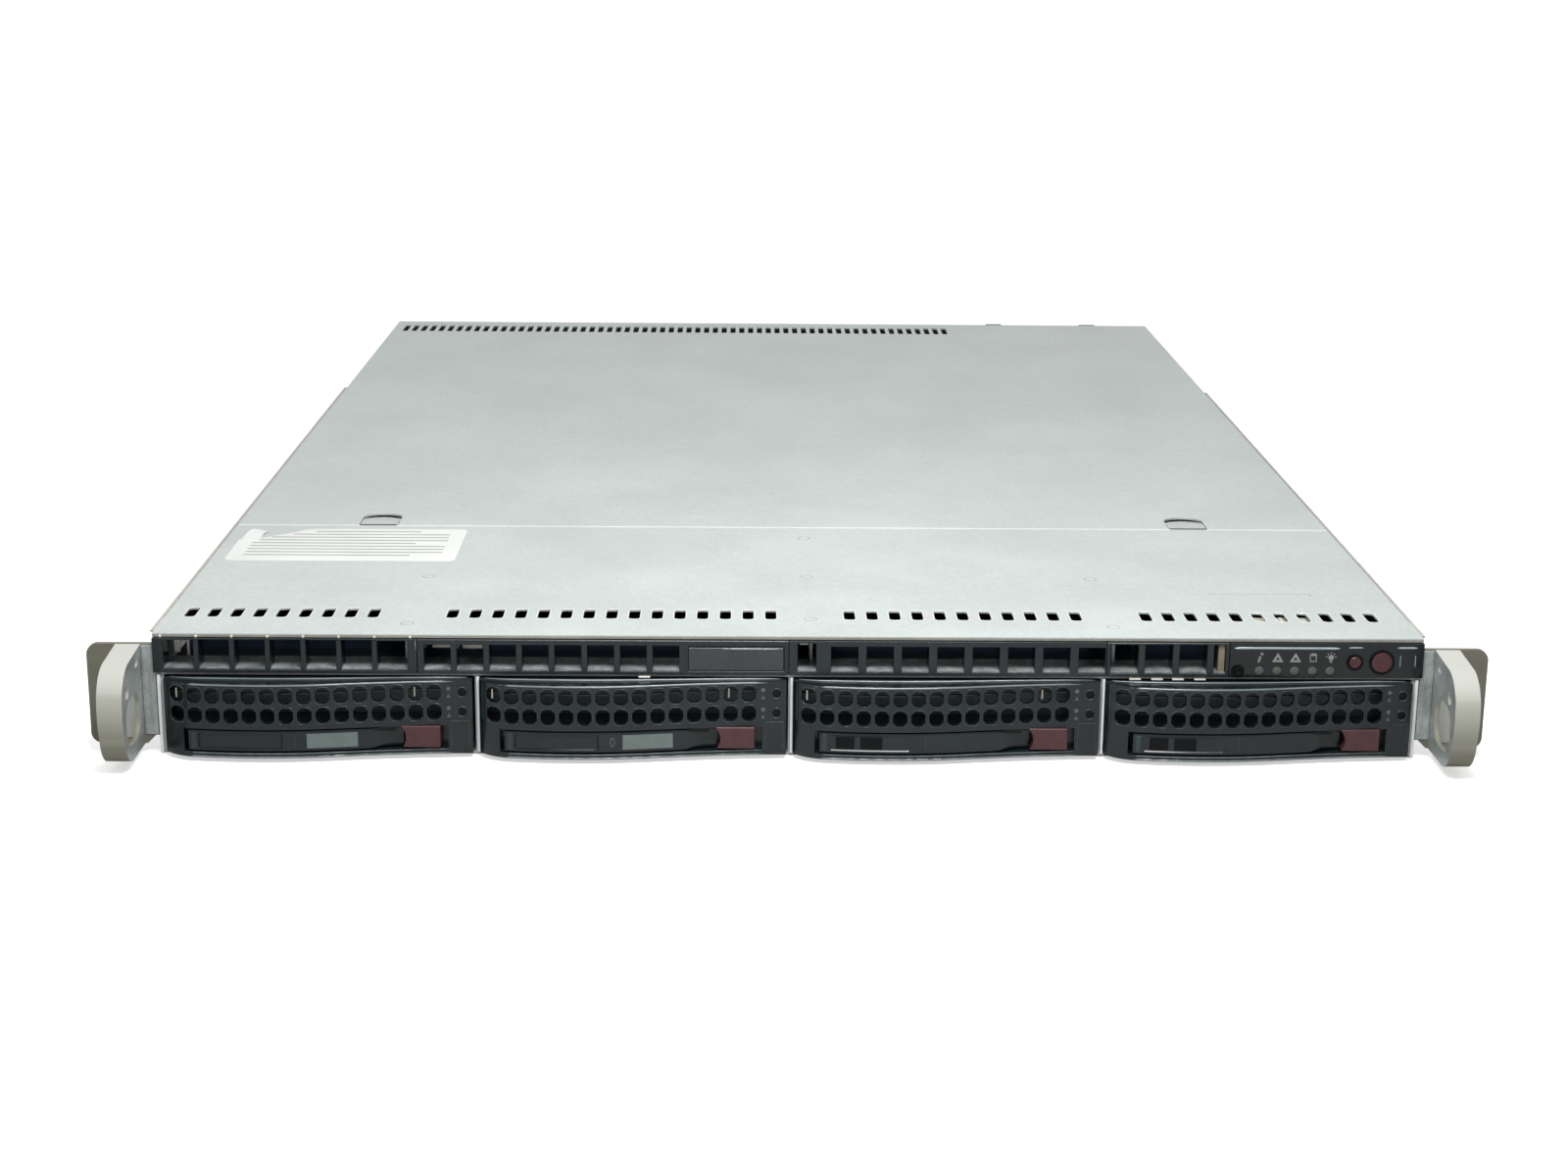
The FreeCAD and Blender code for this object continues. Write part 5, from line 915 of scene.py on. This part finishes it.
panel_buttons = (("power_button", 204.0, 35.0, 3.5, maroon), ("reset_button", 194.7, 35.0, 2.0, maroon),
                 ("locator_button", 154.3, 31.6, 1.4, black_and_shade))
cap_dome = ((0, -0.62), (0.45, -0.66), (0.72, -0.84), (0.90, -0.90), (1, -0.74), (1, 1.9), (0, 1.9))
ring_bead = ((0.35, 0.2), (0.35, -0.35), (0.55, -0.5), (0.9, -0.42), (1.05, 0.2))
for name, across, height, radius, finish in panel_buttons:
    place = (across, panel_front, height)
    form = bmesh.new()
    turned(form, [(share * radius, along) for share, along in cap_dome], place, steps=40)
    cap = finished(f"{name}_cap", form, finish, name)
    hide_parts(name)
    form = bmesh.new()
    turned(form, [(radius + wider, along) for wider, along in ring_bead], place, steps=40, hollow=True)
    finished(f"{name}_ring", form, black_and_shade, "chassis")
circuit_green = moulded("green_solder_mask", "#1F4A33", "#2A5A3E", 0.35, 0.8, 0.05, 2.5)
coat(circuit_green, "control_board")

# Covers: zinc-coated sheet with a clear passivation, brushed by years of handling. The fixed front
# sheet is riveted to the cage; the rear sheet slides back. It is paler and flatter than the tray.

cover_top, cover_half = 43.0, 218.3
slot_groups, slot_pitch = ((-210.2, 9), (-118.5, 15), (21.25, 11), (126.1, 11)), 8.0
slot_size, slot_round, slot_wire = (4.3, 12.3), 1.6, 0.22
slot_middle, slot_level = -298.5, 42.85
lip_front, lip_low, lip_top = -325.14, 41.74, 42.6
seam_front, seam_rear, seam_top = -171.2, -170.1, 43.07
bead_left, bead_right, bead_front, bead_hook, bead_width = 154.0, 191.0, -268.0, 3.0, 0.35
bead_low, bead_top = 42.95, 43.03
ring_profile = [(1.95, -0.1), (1.95, 0.03), (2.35, 0.04), (2.45, -0.1)]
rivet_profile = [(0, -0.14), (0.9, -0.12), (1.5, -0.05), (1.86, 0.02), (1.98, -0.05), (1.98, -0.9), (0, -0.9)]
rivet_places = [(7.5, -304.2, cover_top), (7.5, -246.5, cover_top), (7.5, -188.4, cover_top),
                (-133, -311.6, cover_top), (-133, -248.6, cover_top), (113, -312.2, cover_top),
                (113, -248, cover_top)]
cover_zinc = sheet_metal("passivated_zinc_sheet", "#D3DAD8", "#C6CECB", 0.46, 1.3, 60.0, 1.3, 0.02, bare=0.4)
dressed("front_cover", cover_zinc, 0.22)
coat(cover_zinc, "rear_cover")

# Painted shade: the cover's upright front lip is painted darker than the top sheet.
shaded_lip_metal = sheet_metal("zinc_lip_painted_shade", "#A8A79F", "#8F8F88", 0.45, 1.5, 30.0, 0.4, bare=0.2)
built("cover_lip", [((-218.2, lip_front, lip_low), (218.2, front_line, lip_top))], shaded_lip_metal, "chassis")

edge_tree, edge_in, edge_keys = rules("slot_edges", Width="Float", Height="Float", Corner="Float",
                                      Wire="Float", Columns="Int", Pitch="Float", Start="Vector",
                                      Finish="Material")
outline = rounded_wire(edge_tree, edge_in)
step = add(edge_tree, "ShaderNodeCombineXYZ", (0, edge_in["Pitch"]))
row = add(edge_tree, "GeometryNodeMeshLine", ("Count", edge_in["Columns"]),
          ("Start Location", edge_in["Start"]), ("Offset", step))
row = add(edge_tree, "GeometryNodeInstanceOnPoints", ("Points", row), ("Instance", outline))
close_rules(edge_tree, row, edge_in["Finish"])
# Painted highlight: thin near-white rims round the slots and along the seam.
highlight_zinc = sheet_metal("zinc_edge_painted_highlight", "#F6F8F6", "#EBEFEC", 0.4, 1.5, 30.0, 0.3, bare=0.1)
for number, (start, count) in enumerate(slot_groups, 1):
    edges = grown(f"slot_edges_{number}", edge_tree, edge_keys, {
        "Width": slot_size[0] * MM, "Height": slot_size[1] * MM, "Corner": slot_round * MM,
        "Wire": slot_wire * MM, "Columns": count, "Pitch": slot_pitch * MM,
        "Start": Vector((start, slot_middle, slot_level)) * MM, "Finish": highlight_zinc})
    smooth(edges.data, 60)
    settle(edges, "chassis")
seam = ((-cover_half, seam_front, cover_top - 0.1), (cover_half, seam_rear, seam_top))
built("cover_seam", [seam], highlight_zinc, "chassis", 0.03)


def rivet_ring(form):
    turned(form, ring_profile, (0, 0, 0), "z", 24, True)


def rivet(form):
    turned(form, rivet_profile, (0, 0, 0), "z", 24)


rivets = set_out("front_cover_rivets", rivet, rivet_places, cover_zinc, "chassis")
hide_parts("cover_rivets")
dull_zinc = sheet_metal("dull_zinc", "#A9AFAD", "#989E9C", 0.5, 1.5, 30.0, 0.3, bare=0.2)
set_out("rivet_rings", rivet_ring, rivet_places, dull_zinc, "chassis")
bead_boxes = [((bead_left, bead_front, bead_low), (bead_right, bead_front + bead_width, bead_top)),
              ((bead_right - bead_width, bead_front - bead_hook, bead_low),
               (bead_right, bead_front, bead_top))]
built("cover_bead", bead_boxes, dull_zinc, "chassis")

# Cover latches: tabs pressed from the same sheet, painted a little darker and warmer as painted
# reflection; the rear half is dished for a fingertip. A dark strip in each slit, painted shade, parts
# each from the front cover.

latch_width, latch_front, latch_shoulder, latch_rise, latch_sheet = 15.0, -168.9, -157.4, 5.4, 0.8
dish_start, dish_drop, dish_fade, dish_columns, dish_rows = 0.45, 1.1, 0.6, 20, 14
slit_half, slit_front, slit_rear, slit_low, slit_top = 7.3, -171.0, -169.2, 42.9, 43.1
# Painted reflection: the tabs are a little darker and warmer than the cover, for the tone they reflect.
reflection_tinted_tab_zinc = sheet_metal("zinc_tab_painted_reflection", "#CDD1CE", "#C1C5C2", 0.42, 1.3, 30.0, 0.8, bare=0.4)


def sheet_between(form, grid):
    """Faces over a grid of vertices."""
    for one, two in zip(grid, grid[1:]):
        for column in range(len(one) - 1):
            form.faces.new((one[column], one[column + 1], two[column + 1], two[column]))


for name, middle in (("left_cover_latch", -162.5), ("right_cover_latch", 162.5)):
    form = bmesh.new()
    grid = []
    for row in range(dish_rows + 1):
        share = row / dish_rows
        dish = max(share - dish_start, 0) / (1 - dish_start)
        line = []
        for column in range(dish_columns + 1):
            side = -1 + 2 * column / dish_columns
            end = latch_shoulder + latch_rise * (1 - side * side)
            drop = dish_drop * dish * dish * (3 - 2 * dish) * (1 - dish_fade * side * side)
            line.append(vert(form, middle + side * latch_width / 2, latch_front + (end - latch_front) * share,
                             cover_top - drop))
        grid.append(line)
    sheet_between(form, grid)
    tab = finished(f"{name}_tab", form, reflection_tinted_tab_zinc, name)
    sheet = tab.modifiers.new("Sheet", "SOLIDIFY")
    sheet.thickness = latch_sheet * MM
    sheet.offset = -1
    round_edges(tab, 0.15)
    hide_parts(name)
    # Painted shade: a dark strip fills the slit between tab and cover.
    slit = ((middle - slit_half, slit_front, slit_low), (middle + slit_half, slit_rear, slit_top))
    built(f"{name}_slit", [slit], black_and_shade, "chassis")

# Sticker: white coated paper with plain grey ruled lines, stuck on the front cover. Its rear left
# corner is torn and curls up towards the seam.

sticker_left, sticker_right, sticker_front, sticker_rear = -213.4, -126.0, -226.5, -177.0
sticker_low, sticker_top, sticker_round = 42.99, 43.04, 3.0
torn_edge = [(-186.0, sticker_rear), (-190.5, -179.2), (-194.0, -183.6), (-199.0, -187.0), (-203.6, -191.4),
             (-206.4, -193.0), (-209.8, -191.6), (sticker_left, -193.6)]
flap = [[(-213.0, -197.4, 43.06), (-209.4, -196.8, 43.06), (-205.4, -197.2, 43.06)],
        [(-213.0, -193.4, 43.08), (-209.4, -192.4, 43.08), (-205.2, -193.4, 43.08)],
        [(-212.6, -189.4, 43.4), (-209.2, -188.2, 43.7), (-205.2, -189.2, 43.2)],
        [(-211.8, -185.6, 43.9), (-209.0, -184.4, 43.9), (-205.4, -186.4, 43.5)],
        [(-211.4, -182.6, 44.2), (-208.4, -181.8, 43.7), (-204.6, -184.4, 43.4)],
        [(-210.4, -180.2, 43.9), (-207.2, -180.2, 43.5), (-203.8, -182.8, 43.15)]]
rule_count, rule_step, rule_wide, rule_inset, rule_rear = 9, 4.6, 1.3, 6.0, 5.0
tear_clear, tear_step, short_rule, rule_group = 22.0, 8.0, 18.0, 4

points = []
for centre, start in (((sticker_left + sticker_round, sticker_front + sticker_round), 180),
                      ((sticker_right - sticker_round, sticker_front + sticker_round), 270),
                      ((sticker_right - sticker_round, sticker_rear - sticker_round), 0)):
    for step in range(7):
        angle = math.radians(start + 15 * step)
        points.append((centre[0] + sticker_round * math.cos(angle),
                       centre[1] + sticker_round * math.sin(angle)))
form = bmesh.new()
outline_plate(form, points + torn_edge, sticker_low, sticker_top, "z")
finished("sticker", form, paper, "chassis")

form = bmesh.new()
sheet_between(form, [[vert(form, *spot) for spot in line] for line in flap])
curl = finished("sticker_flap", form, paper, "chassis", angle=20)
soften = curl.modifiers.new("Curl", "SUBSURF")
soften.levels = soften.render_levels = 2
thin = curl.modifiers.new("Paper", "SOLIDIFY")
thin.thickness = 0.1 * MM

form = bmesh.new()
for index in range(rule_count):
    along = sticker_rear - rule_rear - rule_step * index
    start = sticker_left + rule_inset + max(0.0, tear_clear - tear_step * index)
    end = sticker_right - (rule_inset if index % rule_group else short_rule)
    outline_plate(form, oblong(start, end, along, along + rule_wide), sticker_top, sticker_top + 0.02, "z")
finished("sticker_rules", form, rule_grey, "chassis")

# Rack handles: pressed steel loop and ear with a satin grey-khaki powder coat, painted lighter towards
# the top and darker towards the bottom as painted light and shade, and darker on the ear as painted
# shade; a bare rolled web, hinged on a plate at the tray's side, with a near-white plate behind the
# loop as painted light.

handle_low, handle_high, ear_line, web_start, web_end = 6.0, 38.0, -326.2, 222.6, 224.4
coat_shaded, coat_lit = "#7E7D6C", "#C9CAC2"
liner_far, liner_low, liner_high = 231.0, (-325.12, 5.4), (-325.0, 37.2)
plate_near, plate_far, hinge_low, hinge_high = 218.0, 222.5, (-325.25, 6.6), (-325.02, 38.8)
knuckle_places, knuckle_wide, knuckle_low, knuckle_high = (219.2, 221.2), 0.6, (-325.7, 7.0), (-325.2, 38.4)
handle_grey = moulded("satin_powder_coat_painted_light", "#A9A89C", "#B5B4A9", 0.30, 0.5, 0.03, 12.0)
tree = handle_grey.node_tree
band_shader = next(item for item in tree.nodes if item.type == "BSDF_PRINCIPLED")
# Painted light and shade: the coat is lighter towards the top and darker towards the bottom, by height.
spot = add(tree, "ShaderNodeSeparateXYZ", (0, add(tree, "ShaderNodeTexCoord").outputs["Object"]))
light_by_height = add(tree, "ShaderNodeMapRange", ("Value", spot.outputs["Z"]), ("From Min", handle_low * MM),
           ("From Max", handle_high * MM))
painted_light_tone = add(tree, "ShaderNodeMix", (0, light_by_height), (6, linear(coat_shaded)), (7, linear(coat_lit)),
                 data_type="RGBA")
tree.links.new(painted_light_tone.outputs[2], band_shader.inputs["Base Color"])
# Painted shade: the ear's upright front takes a darker copy of the handle's coat.
shaded_ear_coat = moulded("powder_coat_painted_shade", "#6C6A5D", "#787669", 0.35, 0.5, 0.03, 12.0)
web_metal = sheet_metal("rolled_handle_web", "#C6CCCB", "#A3ABAA", 0.34, 3.0, 9.0, 0.6, 0.02, bare=0.6)
# Painted light: a near-white plate inside the loop stands in for the light seen through it.
painted_light_liner = sheet_metal("ear_liner_painted_light", "#FAFBF8", "#EDEEEA", 0.4, 3.0, 20.0, 0.2, bare=0.15)
for name, side in (("left_handle", -1), ("right_handle", 1)):
    grip = dressed(name, handle_grey, 0.45, 3)
    grip.data.materials.append(shaded_ear_coat)
    grip.data.materials.append(web_metal)
    for patch in grip.data.polygons:
        across, along = side * patch.center.x / MM, patch.center.y / MM
        if along > ear_line:
            patch.material_index = 1
        elif web_start - 0.2 < across < web_end and abs(patch.normal.x) > 0.9:
            patch.material_index = 2
    built(f"{name}_liner", [side_box(side, web_end + 0.2, liner_far, liner_low, liner_high)], painted_light_liner,
          "chassis")
    hinge = [side_box(side, plate_near, plate_far, hinge_low, hinge_high)]
    hinge += [side_box(side, across, across + knuckle_wide, knuckle_low, knuckle_high)
              for across in knuckle_places]
    built(f"{name}_hinge_plate", hinge, web_metal, "chassis", 0.12)

# Slide rails: cold-rolled channel with pale yellow zinc plating, whose warm tint is partly painted
# reflection, hung on pan-head screws with cross slots, and a slim guide of zinc above each, tinted
# warm as painted reflection, which shows beside the cover.

guide_near, guide_far, guide_web, guide_front, guide_rear = 219.4, 221.0, 0.7, -317.0, 127.0
guide_low, guide_top, guide_foot, web_front = 41.0, 41.7, 29.0, -300.0
head_profile = ((0, 0.95), (1.6, 0.85), (2.3, 0.55), (2.6, 0.15), (2.6, 0), (0, 0))
head_steps, slot_half, slot_arm, slot_face = 20, 0.35, 1.5, 0.98
ear_screws = [(219.5, along, height) for along in (-316.0, -307.0) for height in (11.0, 23.0)]
rail_screws = [(218.7, -300.7 + back, 17.5) for back in (36, 214, 392)]
reflection_tinted_rail_zinc = sheet_metal("yellow_zinc_plate_and_painted_reflection", "#D6D1C6", "#C2BBAE", 0.38, 4.0, 60.0, 0.6, bare=0.6)
reflection_tinted_guide_zinc = sheet_metal("zinc_guide_painted_reflection", "#CBC8BF", "#B4B0A6", 0.42, 4.0, 60.0, 0.4, bare=0.2)
for name in ("left_inner_rail", "right_inner_rail"):
    dressed(name, reflection_tinted_rail_zinc, 0.2)
guides = []
for side in (-1, 1):
    guides.append(side_box(side, guide_near, guide_far, (guide_front, guide_low), (guide_rear, guide_top)))
    guides.append(side_box(side, guide_near, guide_near + guide_web, (web_front, guide_foot),
                           (guide_rear, guide_top)))
built("rail_guides", guides, reflection_tinted_guide_zinc, "chassis", 0.15)
screw_steel = sheet_metal("bright_zinc_screw", "#BFC2C1", "#A4A8A7", 0.30, 0.8, 6.0, 0.5)


def screw_head(outward):
    """A head that faces left (-1) or right (1)."""
    def build(form):
        turned(form, [(radius, outward * along) for radius, along in head_profile], (0, 0, 0), "x",
               head_steps)
        inner, outer = sorted((0, outward * slot_face))
        for wide, high in ((slot_half, slot_arm), (slot_arm, slot_half)):
            block(form, (inner, -wide, -high), (outer, wide, high))
    return build


for side, outward in (("left", -1), ("right", 1)):
    places = [(outward * across, along, height) for across, along, height in ear_screws + rail_screws]
    heads = set_out(f"{side}_screw_heads", screw_head(outward), places, screw_steel, "chassis")
    if side == "left":
        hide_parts("side_screws")

# Inside: backplane, fans, motherboard, heatsinks, memory, duct and control board. They show only
# through slots, empty bays and gaps, and keep their CAD shapes.

fan_black = moulded("black_fan_pbt", "#1E2224", "#262A2C", 0.45)
sink_aluminium = sheet_metal("extruded_aluminium", "#C6C9CA", "#B2B5B6", 0.38, 1.5, 25.0, 0.4)
brass = sheet_metal("brass_hexagon", "#C9A659", "#B08E45", 0.30, 1.0, 8.0, 0.4)
smoked_duct = moulded("smoked_pvc_sheet", "#4A4F50", "#545A5B", 0.25, 0.5, 0.01)
coat(circuit_green, "drive_backplane", "motherboard", "power_board")
coat(fan_black, "fan_frames", "fan_rotor_1", "fan_rotor_2", "fan_rotor_3", "fan_rotor_4")
coat(brass, "board_standoffs")
coat(sink_aluminium, "processor_heatsinks")
coat(moulded("green_memory_card", "#1C5A3A", "#26684A", 0.4, 0.8, 0.05, 2.0), "memory_modules")
coat(smoked_duct, "air_shroud")

# Rear ports: nickel-plated shells behind a thin stamped shield. The collared port has two rows of
# gilded pins.

shield_left, shield_low, shield_high = -205.9, 8.7, 25.1
shield_front, shield_rear, shield_gap = 324.3, 324.9, 0.15
windows = [(-205.5, -174.5, 21.6), (-167.5, -136.5, 21.6), (-129.5, -115.0, 24.7), (-107.5, -91.5, 22.7),
           (-87.5, -71.5, 22.7)]
pin_middle, pin_pitch, pin_face = -190.0, 2.2, 325.9
pin_rows = ((0.0, 16.3, range(-2, 3)), (1.1, 14.4, range(-2, 2)))
nickel = sheet_metal("nickel_plated_shell", "#C3C5C3", "#ABADAB", 0.28, 0.8, 10.0, 0.5)
dressed("rear_ports", nickel, 0.15)
bars = []
edge = shield_left
for left, right, high in windows:
    if left - shield_gap > edge:
        bars.append(((edge, shield_front, shield_low), (left - shield_gap, shield_rear, shield_high)))
    if shield_high > high + 2 * shield_gap:
        bars.append(((left - shield_gap, shield_front, high + shield_gap),
                     (right + shield_gap, shield_rear, shield_high)))
    edge = right + shield_gap
built("port_shield", bars, nickel, "chassis", 0.1)


def pin(form):
    turned(form, [(0, 5.0), (0.35, 4.9), (0.45, 4.6), (0.45, 0), (0, 0)], (0, 0, 0), "y", 8)


pins = [(pin_middle + shift + pin_pitch * index, pin_face, height)
        for shift, height, row in pin_rows for index in row]
gilt = sheet_metal("gilded_contact", "#D8B45A", "#C9A24A", 0.25, 0.6, 4.0, 0.3)
set_out("serial_pins", pin, pins, gilt, "chassis")

# Power modules: zinc-coated steel boxes that slide out, each with a fan behind a wire guard, a mains
# inlet of black PBT, a black pull strap and a maroon thumb latch.

fan_inset, fan_height, guard_proud = 17.2, 21.2, 0.6
guard_rings, guard_first, guard_step, guard_wire = 5, 3.0, 2.7, 0.4
arm_reach, arm_thin, arm_half = 15.4, 0.35, 0.6
inlet_right, inlet_wide, inlet_low, inlet_high, inlet_proud, inlet_sunk = 52.7, 18.0, 5.2, 31.5, 0.9, 0.2
left_wall, right_wall, wall_lap, sill_high, head_high = 1.5, 1.2, 0.1, 1.4, 0.7
blade_places = ((-11.3, 18.7), (-8.3, 23.2), (-5.3, 18.7))
blade_half, blade_rise, blade_rear, blade_front = 0.8, 2.3, 17.6, 4.0
guard_tree, guard_in, guard_keys = rules("fan_guard", Rings="Int", First="Float", Step="Float", Wire="Float",
                                         Middle="Vector", Finish="Material")
line = add(guard_tree, "GeometryNodeMeshLine", ("Count", guard_in["Rings"]), ("Offset", (0, 0, 0)))
index = add(guard_tree, "GeometryNodeInputIndex")
radius = add(guard_tree, "ShaderNodeMath", (0, index), (1, guard_in["Step"]), (2, guard_in["First"]),
             operation="MULTIPLY_ADD")
hoop = add(guard_tree, "GeometryNodeCurvePrimitiveCircle", ("Resolution", 40), ("Radius", 1.0))
hoops = add(guard_tree, "GeometryNodeInstanceOnPoints", ("Points", line), ("Instance", hoop),
            ("Scale", radius))
hoops = add(guard_tree, "GeometryNodeRealizeInstances", (0, hoops))
thick = add(guard_tree, "GeometryNodeCurvePrimitiveCircle", ("Resolution", 6), ("Radius", guard_in["Wire"]))
hoops = add(guard_tree, "GeometryNodeCurveToMesh", ("Curve", hoops), ("Profile Curve", thick))
hoops = add(guard_tree, "GeometryNodeTransform", ("Geometry", hoops), ("Translation", guard_in["Middle"]),
            ("Rotation", (math.pi / 2, 0, 0)))
close_rules(guard_tree, hoops, guard_in["Finish"])

strap_black = moulded("woven_black_strap", "#17191A", "#222425", 0.6, 0.9, 0.12, 3.0)
inlet_black = moulded("black_pbt_inlet", "#17191B", "#1F2123", 0.4)
for number in (1, 2):
    body, case = f"power_module_{number}", f"power_module_case_{number}"
    left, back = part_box(case)[0].x / MM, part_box(case)[1].y / MM
    dressed(case, zinc_steel, 0.3)
    middle = Vector((left + fan_inset, back + guard_proud, fan_height)) * MM
    guard = grown(f"{body}_guard", guard_tree, guard_keys, {
        "Rings": guard_rings, "First": guard_first * MM, "Step": guard_step * MM, "Wire": guard_wire * MM,
        "Middle": middle, "Finish": nickel})
    smooth(guard.data, 60)
    settle(guard, body)
    form = bmesh.new()
    for turn_angle in (45, 135):
        arm = block(form, (-arm_reach, -arm_thin, -arm_half), (arm_reach, arm_thin, arm_half))
        place = Matrix.Translation(middle) @ Matrix.Rotation(math.radians(turn_angle), 4, "Y")
        bmesh.ops.transform(form, matrix=place, verts=arm)
    finished(f"{body}_guard_arms", form, nickel, body, 0.2)

    right = left + inlet_right
    frame_bars = [(right - inlet_wide, right - inlet_wide + left_wall, inlet_low, inlet_high),
                  (right - wall_lap, right + right_wall, inlet_low, inlet_high),
                  (right - inlet_wide, right + right_wall, inlet_low, inlet_low + sill_high),
                  (right - inlet_wide, right + right_wall, inlet_high - head_high, inlet_high)]
    inlet = [((start, back - inlet_sunk, low), (end, back + inlet_proud, high))
             for start, end, low, high in frame_bars]
    inlet += [((right + across - blade_half, back - blade_rear, height - blade_rise),
               (right + across + blade_half, back - blade_front, height + blade_rise))
              for across, height in blade_places]
    built(f"{body}_inlet", inlet, inlet_black, body, 0.2)

    dressed(f"power_module_strap_{number}", strap_black, 0.3)
    dressed(f"power_module_latch_{number}", maroon, 0.4)
    coat(fan_black, f"power_module_rotor_{number}")
